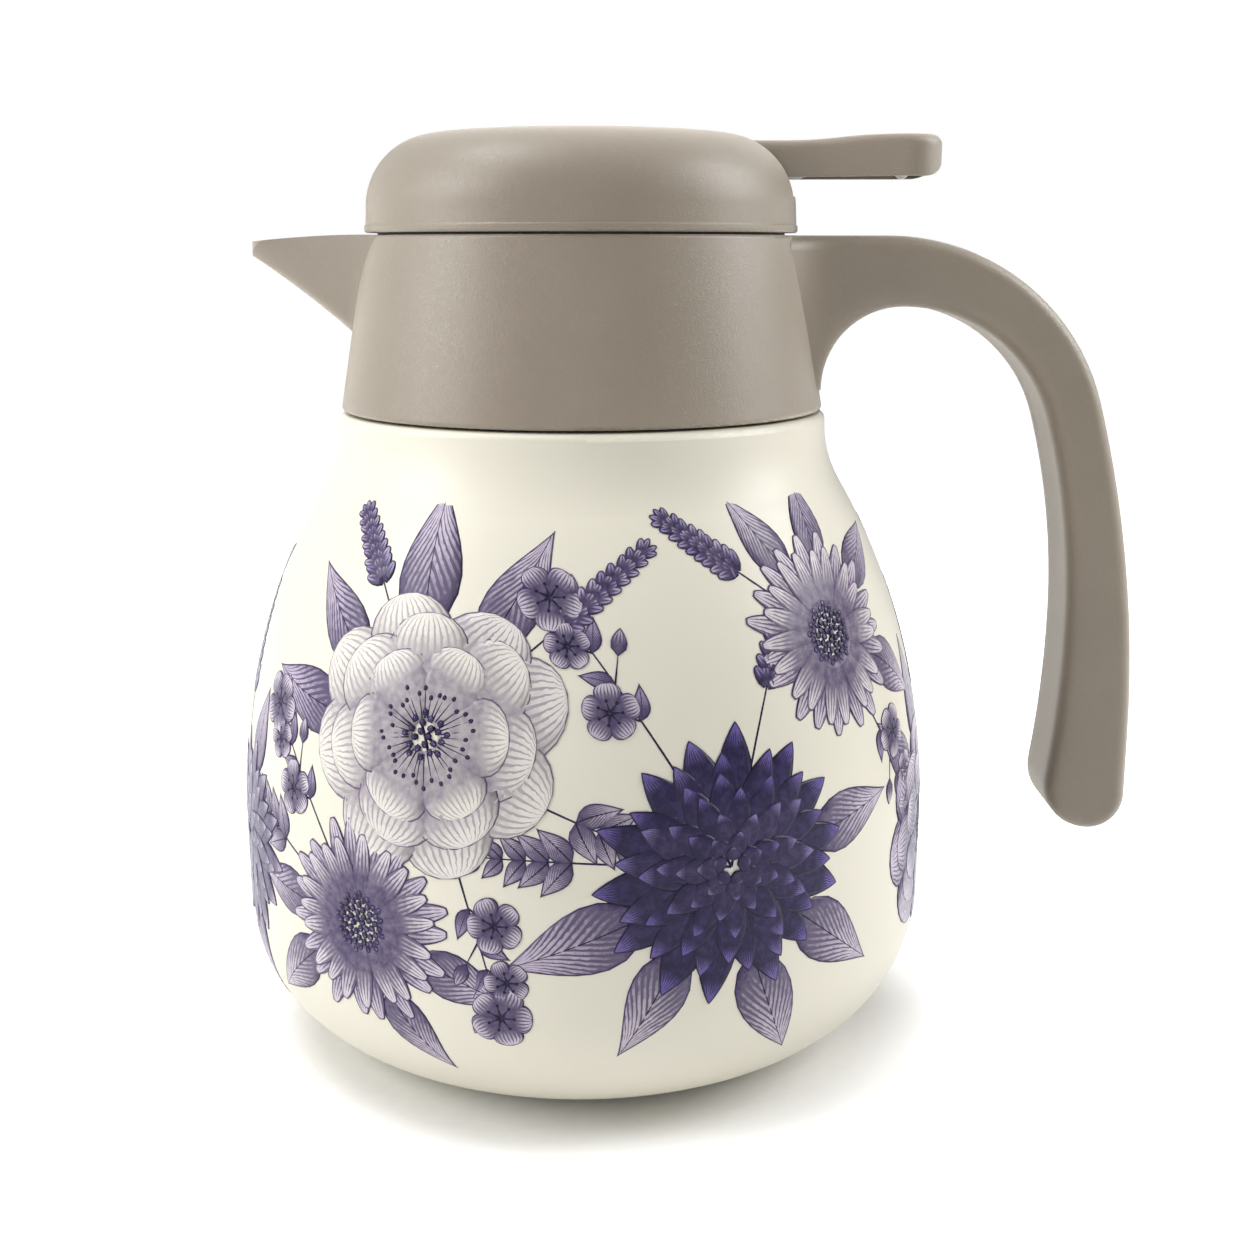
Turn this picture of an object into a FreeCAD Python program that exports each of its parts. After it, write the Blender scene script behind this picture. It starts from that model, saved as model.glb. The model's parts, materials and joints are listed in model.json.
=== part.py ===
import FreeCAD, Part
import math
import os

import Sketcher

# Vacuum serving jug: a steel double-wall body, a moulded collar with spout and handle,
# and a screw-in lid whose thumb lever lifts a sprung pouring valve.
# The origin is on the jug's axis where it stands, +Z is up, the spout points to -X, the handle to +X.

doc = FreeCAD.newDocument("ServingJug")
sheet = doc.addObject("Spreadsheet::Sheet", "dims")
derived = doc.addObject("App::VarSet", "derived")

# Driving sizes in millimetres, with angles in degrees.
SIZES = [
    # Steel body
    ("belly_radius", 70.0, "outer radius of the body"),
    ("corner_radius", 29.0, "radius of the body's lower corner"),
    ("wall_height", 19.2, "height of the straight wall above that corner"),
    ("shoulder_height", 77.0, "height of the shoulder above the straight wall"),
    ("waist_radius", 23.4, "radius of the hollow where the shoulder meets the neck"),
    ("neck_height", 2.0, "height of the neck above the shoulder"),
    ("ledge_width", 9.4, "width of the ledge round the neck tube"),
    ("ledge_edge", 1.4, "edge radius of that ledge"),
    ("shell_wall", 0.6, "sheet thickness of the outer shell"),
    ("tube_height", 21.4, "height of the shell's neck tube above the ledge"),
    ("foot_gap", 0.8, "height of the shell above the table"),
    ("plate_margin", 1.0, "gap between the bottom plate and the body's corner"),
    ("plate_lap", 6.0, "overlap of the bottom plate on the shell's foot"),
    ("plate_thickness", 0.8, "sheet thickness of the bottom plate"),
    ("port_radius", 1.5, "radius of the evacuation port"),
    ("bead_lap", 2.5, "overlap of the bead that seals the port"),
    ("bead_height", 1.2, "height of that bead"),
    ("pad_clearance", 0.5, "gap round the base pad"),
    ("pad_edge", 0.5, "edge radius of the base pad"),
    # Flask
    ("flask_gap", 4.5, "vacuum gap at the belly"),
    ("floor_gap", 6.4, "vacuum gap below the flask"),
    ("neck_gap", 2.7, "vacuum gap at the neck"),
    ("flask_wall", 0.6, "sheet thickness of the flask"),
    ("flask_waist", 24.0, "radius of the hollow below the flask's neck"),
    ("flask_neck_rise", 4.0, "height above the ledge where the flask's neck begins"),
    ("mouth_radius", 35.5, "inner radius of the flask's mouth"),
    ("getter_radius", 8.0, "radius of the getter disc"),
    ("getter_height", 2.5, "height of the getter disc"),
    # Collar, neck sleeve and seals
    ("lip_seal_height", 0.6, "height of the seal on the flask's lip"),
    ("sleeve_clearance", 0.2, "gap between the sleeve and what it meets"),
    ("sleeve_skirt", 1.8, "wall of the sleeve's skirt"),
    ("skirt_gap", 3.0, "height of the skirt's lower edge above the ledge"),
    ("sleeve_inset", 2.0, "how far the sleeve's bore stays behind the flask's mouth"),
    ("sleeve_ring", 2.9, "wall of the threaded sleeve"),
    ("sleeve_step", 0.6, "height of the step that carries the collar"),
    ("sleeve_height", 9.4, "height of the threaded sleeve above its seat"),
    ("collar_gap", 0.5, "shadow gap below the collar"),
    ("rim_height", 2.2, "height of the collar's rim above the sleeve"),
    ("collar_setback", 0.6, "how far the collar's lower edge stays inside the body's neck"),
    ("collar_room", 0.1, "gap between the sleeve and the collar's rim"),
    ("collar_wall", 2.0, "wall of the collar"),
    ("collar_edge", 0.8, "edge radius of the collar"),
    ("web_thickness", 1.8, "thickness of the collar's inner web"),
    # Spout
    ("spout_length", 22.8, "length of the spout beyond the collar's rim"),
    ("spout_swell", 5.5, "distance of the spout's middle section beyond the rim"),
    ("spout_bury", 6.5, "distance of the spout's inner section behind the rim"),
    ("spout_root_half", 21.0, "half width of the inner section"),
    ("spout_middle_half", 12.0, "half width of the middle section"),
    ("spout_tip_half", 4.4, "half width of the tip section"),
    ("spout_nose", 6.0, "radius of the tip seen from above"),
    ("spout_root_depth", 28.5, "depth of the inner section below the rim"),
    ("spout_middle_depth", 17.1, "depth of the middle section below the rim"),
    ("spout_tip_depth", 2.8, "depth at the tip"),
    ("spout_tip_drop", 1.2, "drop of the rim at the tip"),
    ("spout_keel", 4.0, "radius of the spout's keel"),
    ("spout_tip_keel", 1.6, "radius of the keel at the tip"),
    ("spout_wall", 1.8, "wall of the spout"),
    ("spout_lip", 0.9, "wall of the spout at its lip"),
    ("spout_tip_floor", 1.7, "thickness of the spout's floor at its tip"),
    ("channel_keel", 9.0, "radius of the pouring channel's floor at the collar"),
    ("channel_middle_keel", 5.0, "radius of that floor at the spout's middle section"),
    ("window_half", 13.0, "half width of the pouring windows"),
    # Handle
    ("handle_run", 17.2, "distance from the collar's rim to where the handle starts to bend down"),
    ("arch_radius", 45.0, "outer radius of the handle's bend"),
    ("arch_lean", 16.0, "angle of the handle from upright where that bend ends"),
    ("back_radius", 245.0, "radius of the handle's back"),
    ("root_depth", 13.6, "depth of the handle at its root"),
    ("root_radius", 16.0, "radius of the hollow below the handle's root"),
    ("under_shift", 3.5, "how far the inner bend starts beyond the outer one"),
    ("bend_depth", 14.4, "difference between the radii of the two bends"),
    ("grip_radius", 149.0, "radius of the upper grip face"),
    ("grip_low_radius", 232.0, "radius of the lower grip face"),
    ("grip_low_length", 33.2, "height of the lower grip face"),
    ("end_radius", 9.3, "radius of the handle's end"),
    ("handle_width", 20.5, "width of the handle"),
    ("flare_radius", 14.0, "radius of the flare at the handle's root"),
    ("handle_edge", 2.8, "edge radius of the handle"),
    ("cover_rim", 0.2, "flat between that edge and the handle's cover"),
    ("cover_thickness", 2.2, "thickness of the handle's cover"),
    ("cover_ledge", 1.5, "ledge that the cover lies on"),
    ("cover_clearance", 0.1, "gap round the handle's cover"),
    ("handle_wall", 2.3, "wall between the handle's hollow and its grip face"),
    # Lid cover
    ("lid_gap", 0.5, "shadow gap between collar and lid"),
    ("lid_overhang", 0.1, "how far the lid stands out past the collar's rim"),
    ("lid_room", 12.3, "height of the lid's top above the lever's pin"),
    ("lid_draft", 0.4, "how far the lid's wall leans in"),
    ("lid_side", 4.6, "height of the lid's wall"),
    ("lid_crown", 400.0, "radius of the lid's crown"),
    ("lid_wall", 2.0, "wall thickness of the lid"),
    ("lid_edge", 0.5, "edge radius of the lid's lower edge"),
    ("lid_bead", 1.3, "height of the bead at the lid's lower edge"),
    ("lid_bead_step", 0.25, "how far that bead stands out"),
    ("slot_edge", 0.8, "edge radius of the lever's slot"),
    ("slot_depth", 12.4, "depth of the lever's slot behind the lid's edge"),
    ("slot_room", 6.6, "room below the lever in its slot"),
    ("slot_clearance", 0.5, "gap between the lever and its slot"),
    ("screw_inset", 3.1, "distance of the lid screws from the deck's edge"),
    ("screw_count", 4, "number of lid screws"),
    ("screw_radius", 1.3, "radius of a screw's shank"),
    ("screw_length", 9.0, "length of a screw's shank"),
    ("screw_head_radius", 2.6, "radius of a screw's head"),
    ("screw_head_height", 1.5, "height of a screw's head"),
    ("screw_clearance", 0.2, "gap round a screw's shank and head"),
    ("post_wall", 1.9, "wall of a screw post"),
    ("post_height", 9.2, "height of a screw post"),
    # Stopper
    ("stopper_gap", 1.7, "gap between the stopper and the flask's mouth"),
    ("stopper_wall", 3.0, "wall of the stopper"),
    ("stopper_depth", 24.2, "depth of the stopper below its deck"),
    ("stopper_floor", 2.5, "thickness of the stopper's floor"),
    ("seat_radius", 11.0, "radius of the valve's opening"),
    ("deck_clearance", 0.4, "gap between the stopper's deck and the collar"),
    ("deck_lift", 0.2, "gap below the deck"),
    ("deck_thickness", 3.6, "thickness of the stopper's deck"),
    ("boss_wall", 2.15, "wall of the stem's guide boss round its seal"),
    ("boss_height", 2.8, "height of that boss"),
    ("groove_rise", 4.0, "height of the seal groove above the stopper's underside"),
    ("groove_width", 4.0, "width of the seal groove"),
    ("groove_depth", 1.5, "depth of the seal groove"),
    ("seal_clearance", 0.2, "gap round the stopper's seal"),
    ("mouth_clearance", 0.3, "gap between that seal and the flask"),
    # Thread
    ("thread_lead", 24.0, "rise of the thread in one turn"),
    ("thread_starts", 3, "number of ribs"),
    ("thread_span", 34.0, "angle that one rib covers"),
    ("rib_height", 2.4, "height of a rib at its root"),
    ("rib_taper", 0.5, "height of a rib's sloping flank"),
    ("rib_setback", 0.2, "how far the sleeve's ribs stay behind the flask's mouth"),
    ("rib_gap", 0.6, "gap between the stopper's ribs and the sleeve"),
    ("rib_play", 0.4, "gap between two ribs that bear on each other"),
    ("rib_start", 3.2, "height of the sleeve's rib above its seat"),
    # Lever
    ("pivot_setback", 2.2, "distance of the lever's pin inside the front of its slot"),
    ("pivot_height", 6.2, "height of the lever's pin above the deck"),
    ("pin_radius", 1.5, "radius of the pins"),
    ("pin_fit", 0.05, "running fit of the pins"),
    ("press_fit", 0.02, "gap of a pressed joint"),
    ("ear_thickness", 3.0, "thickness of the pin's ears"),
    ("ear_wall", 2.5, "wall of the ears round the pin"),
    ("ear_gap", 0.4, "side play of the lever"),
    ("hub_wall", 2.9, "wall of the lever's hub round the pin"),
    ("lever_width", 24.0, "width that the lever is trimmed from"),
    ("lever_root_width", 16.0, "width of the lever in its slot"),
    ("lever_angle", 10.0, "angle of the lever's sides, seen from above"),
    ("lever_bend", 12.0, "radius where those sides begin to spread"),
    ("lever_gap", 0.8, "gap between the lever and the front of its slot"),
    ("lever_drop", 2.2, "depth of the lever's top below the lid's"),
    ("lever_length", 27.4, "length of the lever beyond the lid"),
    ("thumb_length", 9.0, "length of the thumb rest's highest stretch"),
    ("thumb_run", 22.0, "length of the rise to the thumb rest"),
    ("thumb_rise", 1.1, "rise of the thumb rest"),
    ("lever_corner", 7.0, "corner radius of the lever's end, seen from above"),
    ("lever_depth", 6.9, "height of the lever beyond the lid"),
    ("skirt_setback", 6.0, "distance inside the lid's edge where the lever's skirt begins"),
    ("skirt_rise", 0.2, "rise of that skirt towards the lever's end"),
    ("lever_heel", 3.6, "radius below the lever's end"),
    ("lever_web", 4.0, "thickness of the lever in its slot"),
    ("lever_skin", 2.0, "wall of the hollow part of the lever"),
    ("lever_edge", 2.0, "edge radius of the lever's top"),
    ("bumper_radius", 1.4, "radius of the soft bumper under the thumb rest"),
    ("bumper_inset", 7.0, "distance of the bumper from the lever's end"),
    ("bumper_drop", 0.2, "how far the bumper hangs below the lever's skirt"),
    ("fork_room", 1.6, "gap between the stem and the lever's fork"),
    ("fork_arm", 3.2, "width of an arm of the fork"),
    ("fork_wall", 0.9, "wall of the fork above and below its slot"),
    ("fork_reach", 4.5, "length of the fork past the stem's axis"),
    ("fork_play", 0.2, "gap between the lift pin and the fork"),
    ("fork_slot", 3.5, "depth of the fork's slot behind the stem's axis"),
    # Valve
    ("stem_radius", 3.0, "radius of the valve stem"),
    ("stem_over", 2.6, "height of the stem's end above the lift pin"),
    ("stem_head_radius", 6.5, "radius of the stem's head"),
    ("stem_head_height", 1.5, "height of the stem's head"),
    ("seal_lap", 3.0, "overlap of the valve's sealing disc on its seat"),
    ("valve_seal_height", 1.5, "height of that disc"),
    ("plug_margin", 1.0, "how far the valve plug stays inside the sealing disc"),
    ("plug_height", 3.0, "height of the valve plug"),
    ("clip_lap", 2.4, "how far the stem's clip stands out from the stem"),
    ("clip_height", 0.8, "height of the stem's clip"),
    ("clip_groove", 0.6, "depth of the clip's groove"),
    ("stem_seal_radius", 0.9, "section radius of the stem's seal"),
    ("seal_rise", 1.2, "height of the stem's seal above the deck"),
    ("spring_room", 1.4, "gap between the stem's clip and the spring"),
    ("spring_wire", 1.0, "wire of the valve spring"),
]

for row, (alias, number, meaning) in enumerate(SIZES, start=1):
    sheet.set(f"A{row}", meaning)
    sheet.set(f"B{row}", str(number))
    sheet.setAlias(f"B{row}", alias)
doc.recompute()


class Size:
    """A length with its number and the sheet expression that the number comes from."""

    def __init__(self, number, text):
        self.number = number
        self.text = text

    def join(self, other, sign, number):
        return Size(number, f"({self.text} {sign} {as_size(other).text})")

    def __add__(self, other):
        return self.join(other, "+", self.number + as_size(other).number)

    def __radd__(self, other):
        return as_size(other) + self

    def __sub__(self, other):
        return self.join(other, "-", self.number - as_size(other).number)

    def __rsub__(self, other):
        return as_size(other) - self

    def __mul__(self, other):
        return self.join(other, "*", self.number * as_size(other).number)

    def __rmul__(self, other):
        return as_size(other) * self

    def __truediv__(self, other):
        return self.join(other, "/", self.number / as_size(other).number)

    def __neg__(self):
        return Size(-self.number, f"(0 - {self.text})")


def as_size(value):
    return value if isinstance(value, Size) else Size(float(value), repr(value))


def root(value):
    return Size(math.sqrt(value.number), f"sqrt({value.text})")


def sine(angle):
    return Size(math.sin(math.radians(angle.number)), f"sin({angle.text})")


def cosine(angle):
    return Size(math.cos(math.radians(angle.number)), f"cos({angle.text})")


def dim(alias):
    return Size(float(sheet.get(alias)), f"dims.{alias}")


def named(name, size):
    """Keep a worked-out size under a name of its own, so that later expressions stay short."""
    derived.addProperty("App::PropertyFloat", name)
    derived.setExpression(name, size.text)
    return Size(size.number, f"derived.{name}")


# Drawing and feature helpers.

ON_AXIS = 1e-9
NEAR = 0.01
parts = []


def new_body(label):
    body = doc.addObject("PartDesign::Body", label)
    body.Label = label
    parts.append(body)
    return body


def new_sketch(body, name, role, offset=None):
    sketch = body.newObject("Sketcher::SketchObject", name)
    plane = next(feature for feature in body.Origin.OriginFeatures if feature.Role == role)
    sketch.AttachmentSupport = [(plane, "")]
    sketch.MapMode = "FlatFace"
    if offset is not None:
        sketch.AttachmentOffset = FreeCAD.Placement(FreeCAD.Vector(0, 0, offset.number), FreeCAD.Rotation())
        sketch.setExpression("AttachmentOffset.Base.z", offset.text)
    return sketch


def constrain_point(sketch, segment, end, x, y):
    """Hold one end of a segment at x, y, measured from the sketch's origin."""
    for kind, axis, value in (("DistanceX", -2, x), ("DistanceY", -1, y)):
        if abs(value.number) < ON_AXIS:
            sketch.addConstraint(Sketcher.Constraint("PointOnObject", segment, end, axis))
            continue
        ends = (-1, 1, segment, end) if value.number > 0 else (segment, end, -1, 1)
        distance = value if value.number > 0 else -value
        index = sketch.addConstraint(Sketcher.Constraint(kind, *ends, distance.number))
        sketch.setExpression(f"Constraints[{index}]", distance.text)


def arc_between(start, end, radius):
    """Arc under half a circle: a positive radius turns to the left, a negative one to the right."""
    middle = (start + end) * 0.5
    chord = end - start
    left = FreeCAD.Vector(-chord.y, chord.x, 0).normalize()
    depth = math.sqrt(max(radius * radius - chord.Length ** 2 / 4, 0))
    centre = middle + left * math.copysign(depth, radius)
    first, last = (start, end) if radius > 0 else (end, start)
    angles = [math.atan2(point.y - centre.y, point.x - centre.x) for point in (first, last)]
    return Part.ArcOfCircle(Part.Circle(centre, FreeCAD.Vector(0, 0, 1), abs(radius)), *angles)


def draw_outline(sketch, corners):
    """Closed outline. A corner is (x, y), or (x, y, radius) where an arc leads to it."""
    corners = [tuple(as_size(value) for value in corner) for corner in corners]
    points = [FreeCAD.Vector(corner[0].number, corner[1].number, 0) for corner in corners]
    segments = []
    for index, start in enumerate(points):
        following = (index + 1) % len(points)
        radius = corners[following][2] if len(corners[following]) == 3 else None
        if radius is None:
            number = sketch.addGeometry(Part.LineSegment(start, points[following]), False)
            segments.append((number, 1, 2))
            continue
        number = sketch.addGeometry(arc_between(start, points[following], radius.number), False)
        segments.append((number, 1, 2) if radius.number > 0 else (number, 2, 1))
        bend = radius if radius.number > 0 else -radius
        held = sketch.addConstraint(Sketcher.Constraint("Radius", number, bend.number))
        sketch.setExpression(f"Constraints[{held}]", bend.text)
    for index, (number, begin, finish) in enumerate(segments):
        after = segments[(index + 1) % len(segments)]
        sketch.addConstraint(Sketcher.Constraint("Coincident", number, finish, after[0], after[1]))
        constrain_point(sketch, number, begin, corners[index][0], corners[index][1])


def draw_circle(sketch, x, y, radius):
    centre = FreeCAD.Vector(as_size(x).number, as_size(y).number, 0)
    circle = Part.Circle(centre, FreeCAD.Vector(0, 0, 1), radius.number)
    number = sketch.addGeometry(circle, False)
    held = sketch.addConstraint(Sketcher.Constraint("Radius", number, radius.number))
    sketch.setExpression(f"Constraints[{held}]", radius.text)
    constrain_point(sketch, number, 3, as_size(x), as_size(y))


def revolve(body, name, corners, kind="PartDesign::Revolution"):
    """Turn an outline of radius and height about the Z axis."""
    sketch = new_sketch(body, f"{name}_outline", "XZ_Plane")
    draw_outline(sketch, corners)
    feature = body.newObject(kind, name)
    feature.Profile = sketch
    feature.ReferenceAxis = (sketch, ["V_Axis"])
    feature.Angle = 360
    return feature


def extrude(body, name, sketch, length, kind="PartDesign::Pad", both=True):
    """Pad or pocket a sketch, to both sides of its plane or along its normal."""
    feature = body.newObject(kind, name)
    feature.Profile = sketch
    feature.SideType = "Symmetric" if both else "One side"
    feature.setExpression("Length", length.text)
    return feature


def extrude_side(body, name, corners, width, kind="PartDesign::Pad"):
    """Extrude a side outline (x, z) equally to both sides of the jug's middle plane."""
    sketch = new_sketch(body, f"{name}_outline", "XZ_Plane")
    draw_outline(sketch, corners)
    return extrude(body, name, sketch, width, kind)


def loft(body, name, sections, kind):
    feature = body.newObject(kind, name)
    feature.Profile = sections[0]
    feature.Sections = [(section, [""]) for section in sections[1:]]
    return feature


def fillet(body, name, radius, wanted):
    """Round the edges of the body for which wanted(middle point, edge) is true."""
    doc.recompute()
    base = body.Tip
    chosen = []
    for index, edge in enumerate(base.Shape.Edges, start=1):
        middle = edge.valueAt((edge.FirstParameter + edge.LastParameter) / 2)
        if wanted(middle, edge):
            chosen.append(f"Edge{index}")
    feature = body.newObject("PartDesign::Fillet", name)
    feature.Base = (base, chosen)
    feature.setExpression("Radius", radius.text)
    return feature


def place(item, x=None, y=None, z=None):
    for axis, value in (("x", x), ("y", y), ("z", z)):
        if value is not None:
            item.setExpression(f"Placement.Base.{axis}", as_size(value).text)


def ring_body(label, inner, outer, low, high):
    body = new_body(label)
    revolve(body, f"{label}_turn", [(inner, low), (outer, low), (outer, high), (inner, high)])
    return body


def cross_pin(label, radius, half_length, x, z):
    """A plain pin that lies across the jug."""
    pin = doc.addObject("Part::Cylinder", label)
    pin.Label = label
    pin.setExpression("Radius", radius.text)
    pin.setExpression("Height", (2 * half_length).text)
    pin.Placement = FreeCAD.Placement(FreeCAD.Vector(), FreeCAD.Rotation(FreeCAD.Vector(1, 0, 0), 90))
    place(pin, x, half_length, z)
    parts.append(pin)
    return pin


# Heights and radii that several pieces share, from the table upwards and from the axis outwards.

shell_bottom = dim("foot_gap")
plate_bottom = named("plate_bottom", shell_bottom + dim("shell_wall"))
plate_top = named("plate_top", plate_bottom + dim("plate_thickness"))
flask_floor = named("flask_floor", plate_top + dim("floor_gap"))
wall_top = named("wall_top", shell_bottom + dim("corner_radius") + dim("wall_height"))
neck_start = named("neck_start", wall_top + dim("shoulder_height"))
ledge_height = named("ledge_height", neck_start + dim("neck_height"))
flask_neck_start = named("flask_neck_start", ledge_height + dim("flask_neck_rise"))
tube_top = named("tube_top", ledge_height + dim("tube_height"))
lip_top = named("lip_top", tube_top + dim("flask_wall"))
sleeve_bottom = named("sleeve_bottom", ledge_height + dim("skirt_gap"))
sleeve_seat = named("sleeve_seat", lip_top + dim("lip_seal_height"))
sleeve_shelf = named("sleeve_shelf", sleeve_seat + dim("sleeve_step"))
sleeve_top = named("sleeve_top", sleeve_seat + dim("sleeve_height"))
web_top = named("web_top", sleeve_shelf + dim("web_thickness"))
collar_bottom = named("collar_bottom", ledge_height + dim("collar_gap"))
collar_top = named("collar_top", sleeve_top + dim("rim_height"))
deck_bottom = named("deck_bottom", sleeve_top + dim("deck_lift"))
deck_top = named("deck_top", deck_bottom + dim("deck_thickness"))
boss_top = named("boss_top", deck_top + dim("boss_height"))
pivot_z = named("pivot_z", deck_top + dim("pivot_height"))
lid_bottom = named("lid_bottom", collar_top + dim("lid_gap"))
lid_top = named("lid_top", pivot_z + dim("lid_room"))
lever_top = named("lever_top", lid_top - dim("lever_drop"))
stopper_bottom = named("stopper_bottom", deck_bottom - dim("stopper_depth"))
floor_top = named("floor_top", stopper_bottom + dim("stopper_floor"))
plug_bottom = named("plug_bottom", floor_top + dim("valve_seal_height"))
plug_top = named("plug_top", plug_bottom + dim("plug_height"))

plate_radius = named("plate_radius", dim("belly_radius") - dim("corner_radius") - dim("plate_margin"))
foot_opening = named("foot_opening", plate_radius - dim("plate_lap"))
flask_neck = named("flask_neck", dim("mouth_radius") + dim("flask_wall"))
tube_radius = named("tube_radius", flask_neck + dim("neck_gap") + dim("shell_wall"))
neck_radius = named("neck_radius", tube_radius + dim("ledge_width"))
sleeve_bore = named("sleeve_bore", dim("mouth_radius") + dim("sleeve_inset"))
sleeve_outer = named("sleeve_outer", sleeve_bore + dim("sleeve_ring"))
collar_top_radius = named("collar_top_radius", sleeve_outer + dim("collar_room") + dim("collar_wall"))
collar_bottom_radius = named("collar_bottom_radius", neck_radius - dim("collar_setback"))
deck_radius = named("deck_radius", collar_top_radius - dim("collar_wall") - dim("deck_clearance"))
screw_circle = named("screw_circle", deck_radius - dim("screw_inset"))
stopper_radius = named("stopper_radius", dim("mouth_radius") - dim("stopper_gap"))
lid_radius = named("lid_radius", collar_top_radius + dim("lid_overhang"))
slot_front = named("slot_front", lid_radius - dim("slot_depth"))
pivot_x = named("pivot_x", slot_front - dim("pivot_setback"))
lever_root_half = named("lever_root_half", dim("lever_root_width") / 2)
ear_inner = named("ear_inner", lever_root_half + dim("ear_gap"))
ear_outer = named("ear_outer", ear_inner + dim("ear_thickness"))


def collar_outer(height):
    """Outer radius of the collar's taper at a height."""
    share = (height - collar_bottom) / (collar_top - collar_bottom)
    return collar_bottom_radius - share * (collar_bottom_radius - collar_top_radius)


def waist(name, wide, narrow, low, high, hollow):
    """S-shaped shoulder between two upright walls: where its arcs meet, and the convex one's radius."""
    step = wide - narrow
    rise = high - low
    both = named(f"{name}_both", (step * step + rise * rise) / (2 * step))
    convex = both - hollow
    share = named(f"{name}_share", convex / both)
    return wide - step * share, low + rise * share, convex


def rise_between(low_x, low_z, high_x, high_z):
    """Smooth rise from one level to another by two equal arcs: their meeting point and radius."""
    step = high_z - low_z
    run = high_x - low_x
    return (low_x + high_x) / 2, (low_z + high_z) / 2, (step * step + run * run) / (4 * step)


# Body pieces.

def make_outer_shell():
    wall = dim("shell_wall")
    belly = dim("belly_radius")
    corner = dim("corner_radius")
    neck = neck_radius
    edge = dim("ledge_edge")
    ledge = ledge_height
    tube = tube_radius
    hollow = dim("waist_radius")
    turn_x, turn_z, convex = waist("shoulder", belly, neck, wall_top, neck_start, hollow)
    lean_x = wall * (turn_x - (belly - convex)) / convex
    lean_z = wall * (turn_z - wall_top) / convex
    revolve(new_body("outer_shell"), "shell_turn", [
        (foot_opening, shell_bottom),
        (belly - corner, shell_bottom),
        (belly, shell_bottom + corner, corner),
        (belly, wall_top),
        (turn_x, turn_z, convex),
        (neck, neck_start, -hollow),
        (neck, ledge - edge),
        (neck - edge, ledge, edge),
        (tube, ledge),
        (tube, tube_top),
        (tube - wall, tube_top),
        (tube - wall, ledge - wall),
        (neck - edge, ledge - wall),
        (neck - wall, ledge - edge, wall - edge),
        (neck - wall, neck_start),
        (turn_x - lean_x, turn_z - lean_z, hollow + wall),
        (belly - wall, wall_top, wall - convex),
        (belly - wall, shell_bottom + corner),
        (belly - corner, shell_bottom + wall, wall - corner),
        (foot_opening, shell_bottom + wall),
    ])


def make_inner_flask():
    wall = dim("flask_wall")
    belly = dim("belly_radius") - dim("shell_wall") - dim("flask_gap")
    corner = dim("corner_radius") - dim("shell_wall") - dim("flask_gap")
    floor = flask_floor
    neck = flask_neck
    hollow = dim("flask_waist")
    turn_x, turn_z, convex = waist("flask", belly, neck, wall_top, flask_neck_start, hollow)
    lean_x = wall * (turn_x - (belly - convex)) / convex
    lean_z = wall * (turn_z - wall_top) / convex
    revolve(new_body("inner_flask"), "flask_turn", [
        (0, floor),
        (belly - corner, floor),
        (belly, floor + corner, corner),
        (belly, wall_top),
        (turn_x, turn_z, convex),
        (neck, flask_neck_start, -hollow),
        (neck, tube_top),
        (tube_radius, tube_top),
        (tube_radius, lip_top),
        (neck - wall, lip_top),
        (neck - wall, flask_neck_start),
        (turn_x - lean_x, turn_z - lean_z, hollow + wall),
        (belly - wall, wall_top, wall - convex),
        (belly - wall, floor + corner),
        (belly - corner, floor + wall, wall - corner),
        (0, floor + wall),
    ])


def make_bottom():
    ring_body("bottom_plate", dim("port_radius"), plate_radius, plate_bottom, plate_top)
    bead_radius = dim("port_radius") + dim("bead_lap")
    ring_body("vacuum_seal", as_size(0), bead_radius, plate_top, plate_top + dim("bead_height"))
    ring_body("getter", as_size(0), dim("getter_radius"), flask_floor - dim("getter_height"), flask_floor)
    pad_radius = foot_opening - dim("pad_clearance")
    edge = dim("pad_edge")
    revolve(new_body("base_pad"), "pad_turn", [
        (0, 0),
        (pad_radius - edge, 0),
        (pad_radius, edge, edge),
        (pad_radius, plate_bottom),
        (0, plate_bottom),
    ])


def make_neck_sleeve():
    """Ring inside the collar: its skirt holds the neck tube and its ribs hold the lid."""
    bore = sleeve_bore
    rib_depth = dim("sleeve_inset") - dim("rib_setback")
    skirt_bore = tube_radius + dim("sleeve_clearance")
    skirt_outer = skirt_bore + dim("sleeve_skirt")
    body = new_body("neck_sleeve")
    revolve(body, "sleeve_turn", [
        (skirt_bore, sleeve_bottom),
        (skirt_outer, sleeve_bottom),
        (skirt_outer, sleeve_shelf),
        (sleeve_outer, sleeve_shelf),
        (sleeve_outer, sleeve_top),
        (bore, sleeve_top),
        (bore, sleeve_seat),
        (skirt_bore, sleeve_seat),
    ])
    add_ribs(body, "sleeve_rib", bore, -rib_depth, sleeve_seat + dim("rib_start"))
    cut_window(body, "sleeve_window", web_top, sleeve_top, bore, sleeve_outer)
    ring_body("neck_gasket", dim("mouth_radius"), tube_radius, lip_top, sleeve_seat)


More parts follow.
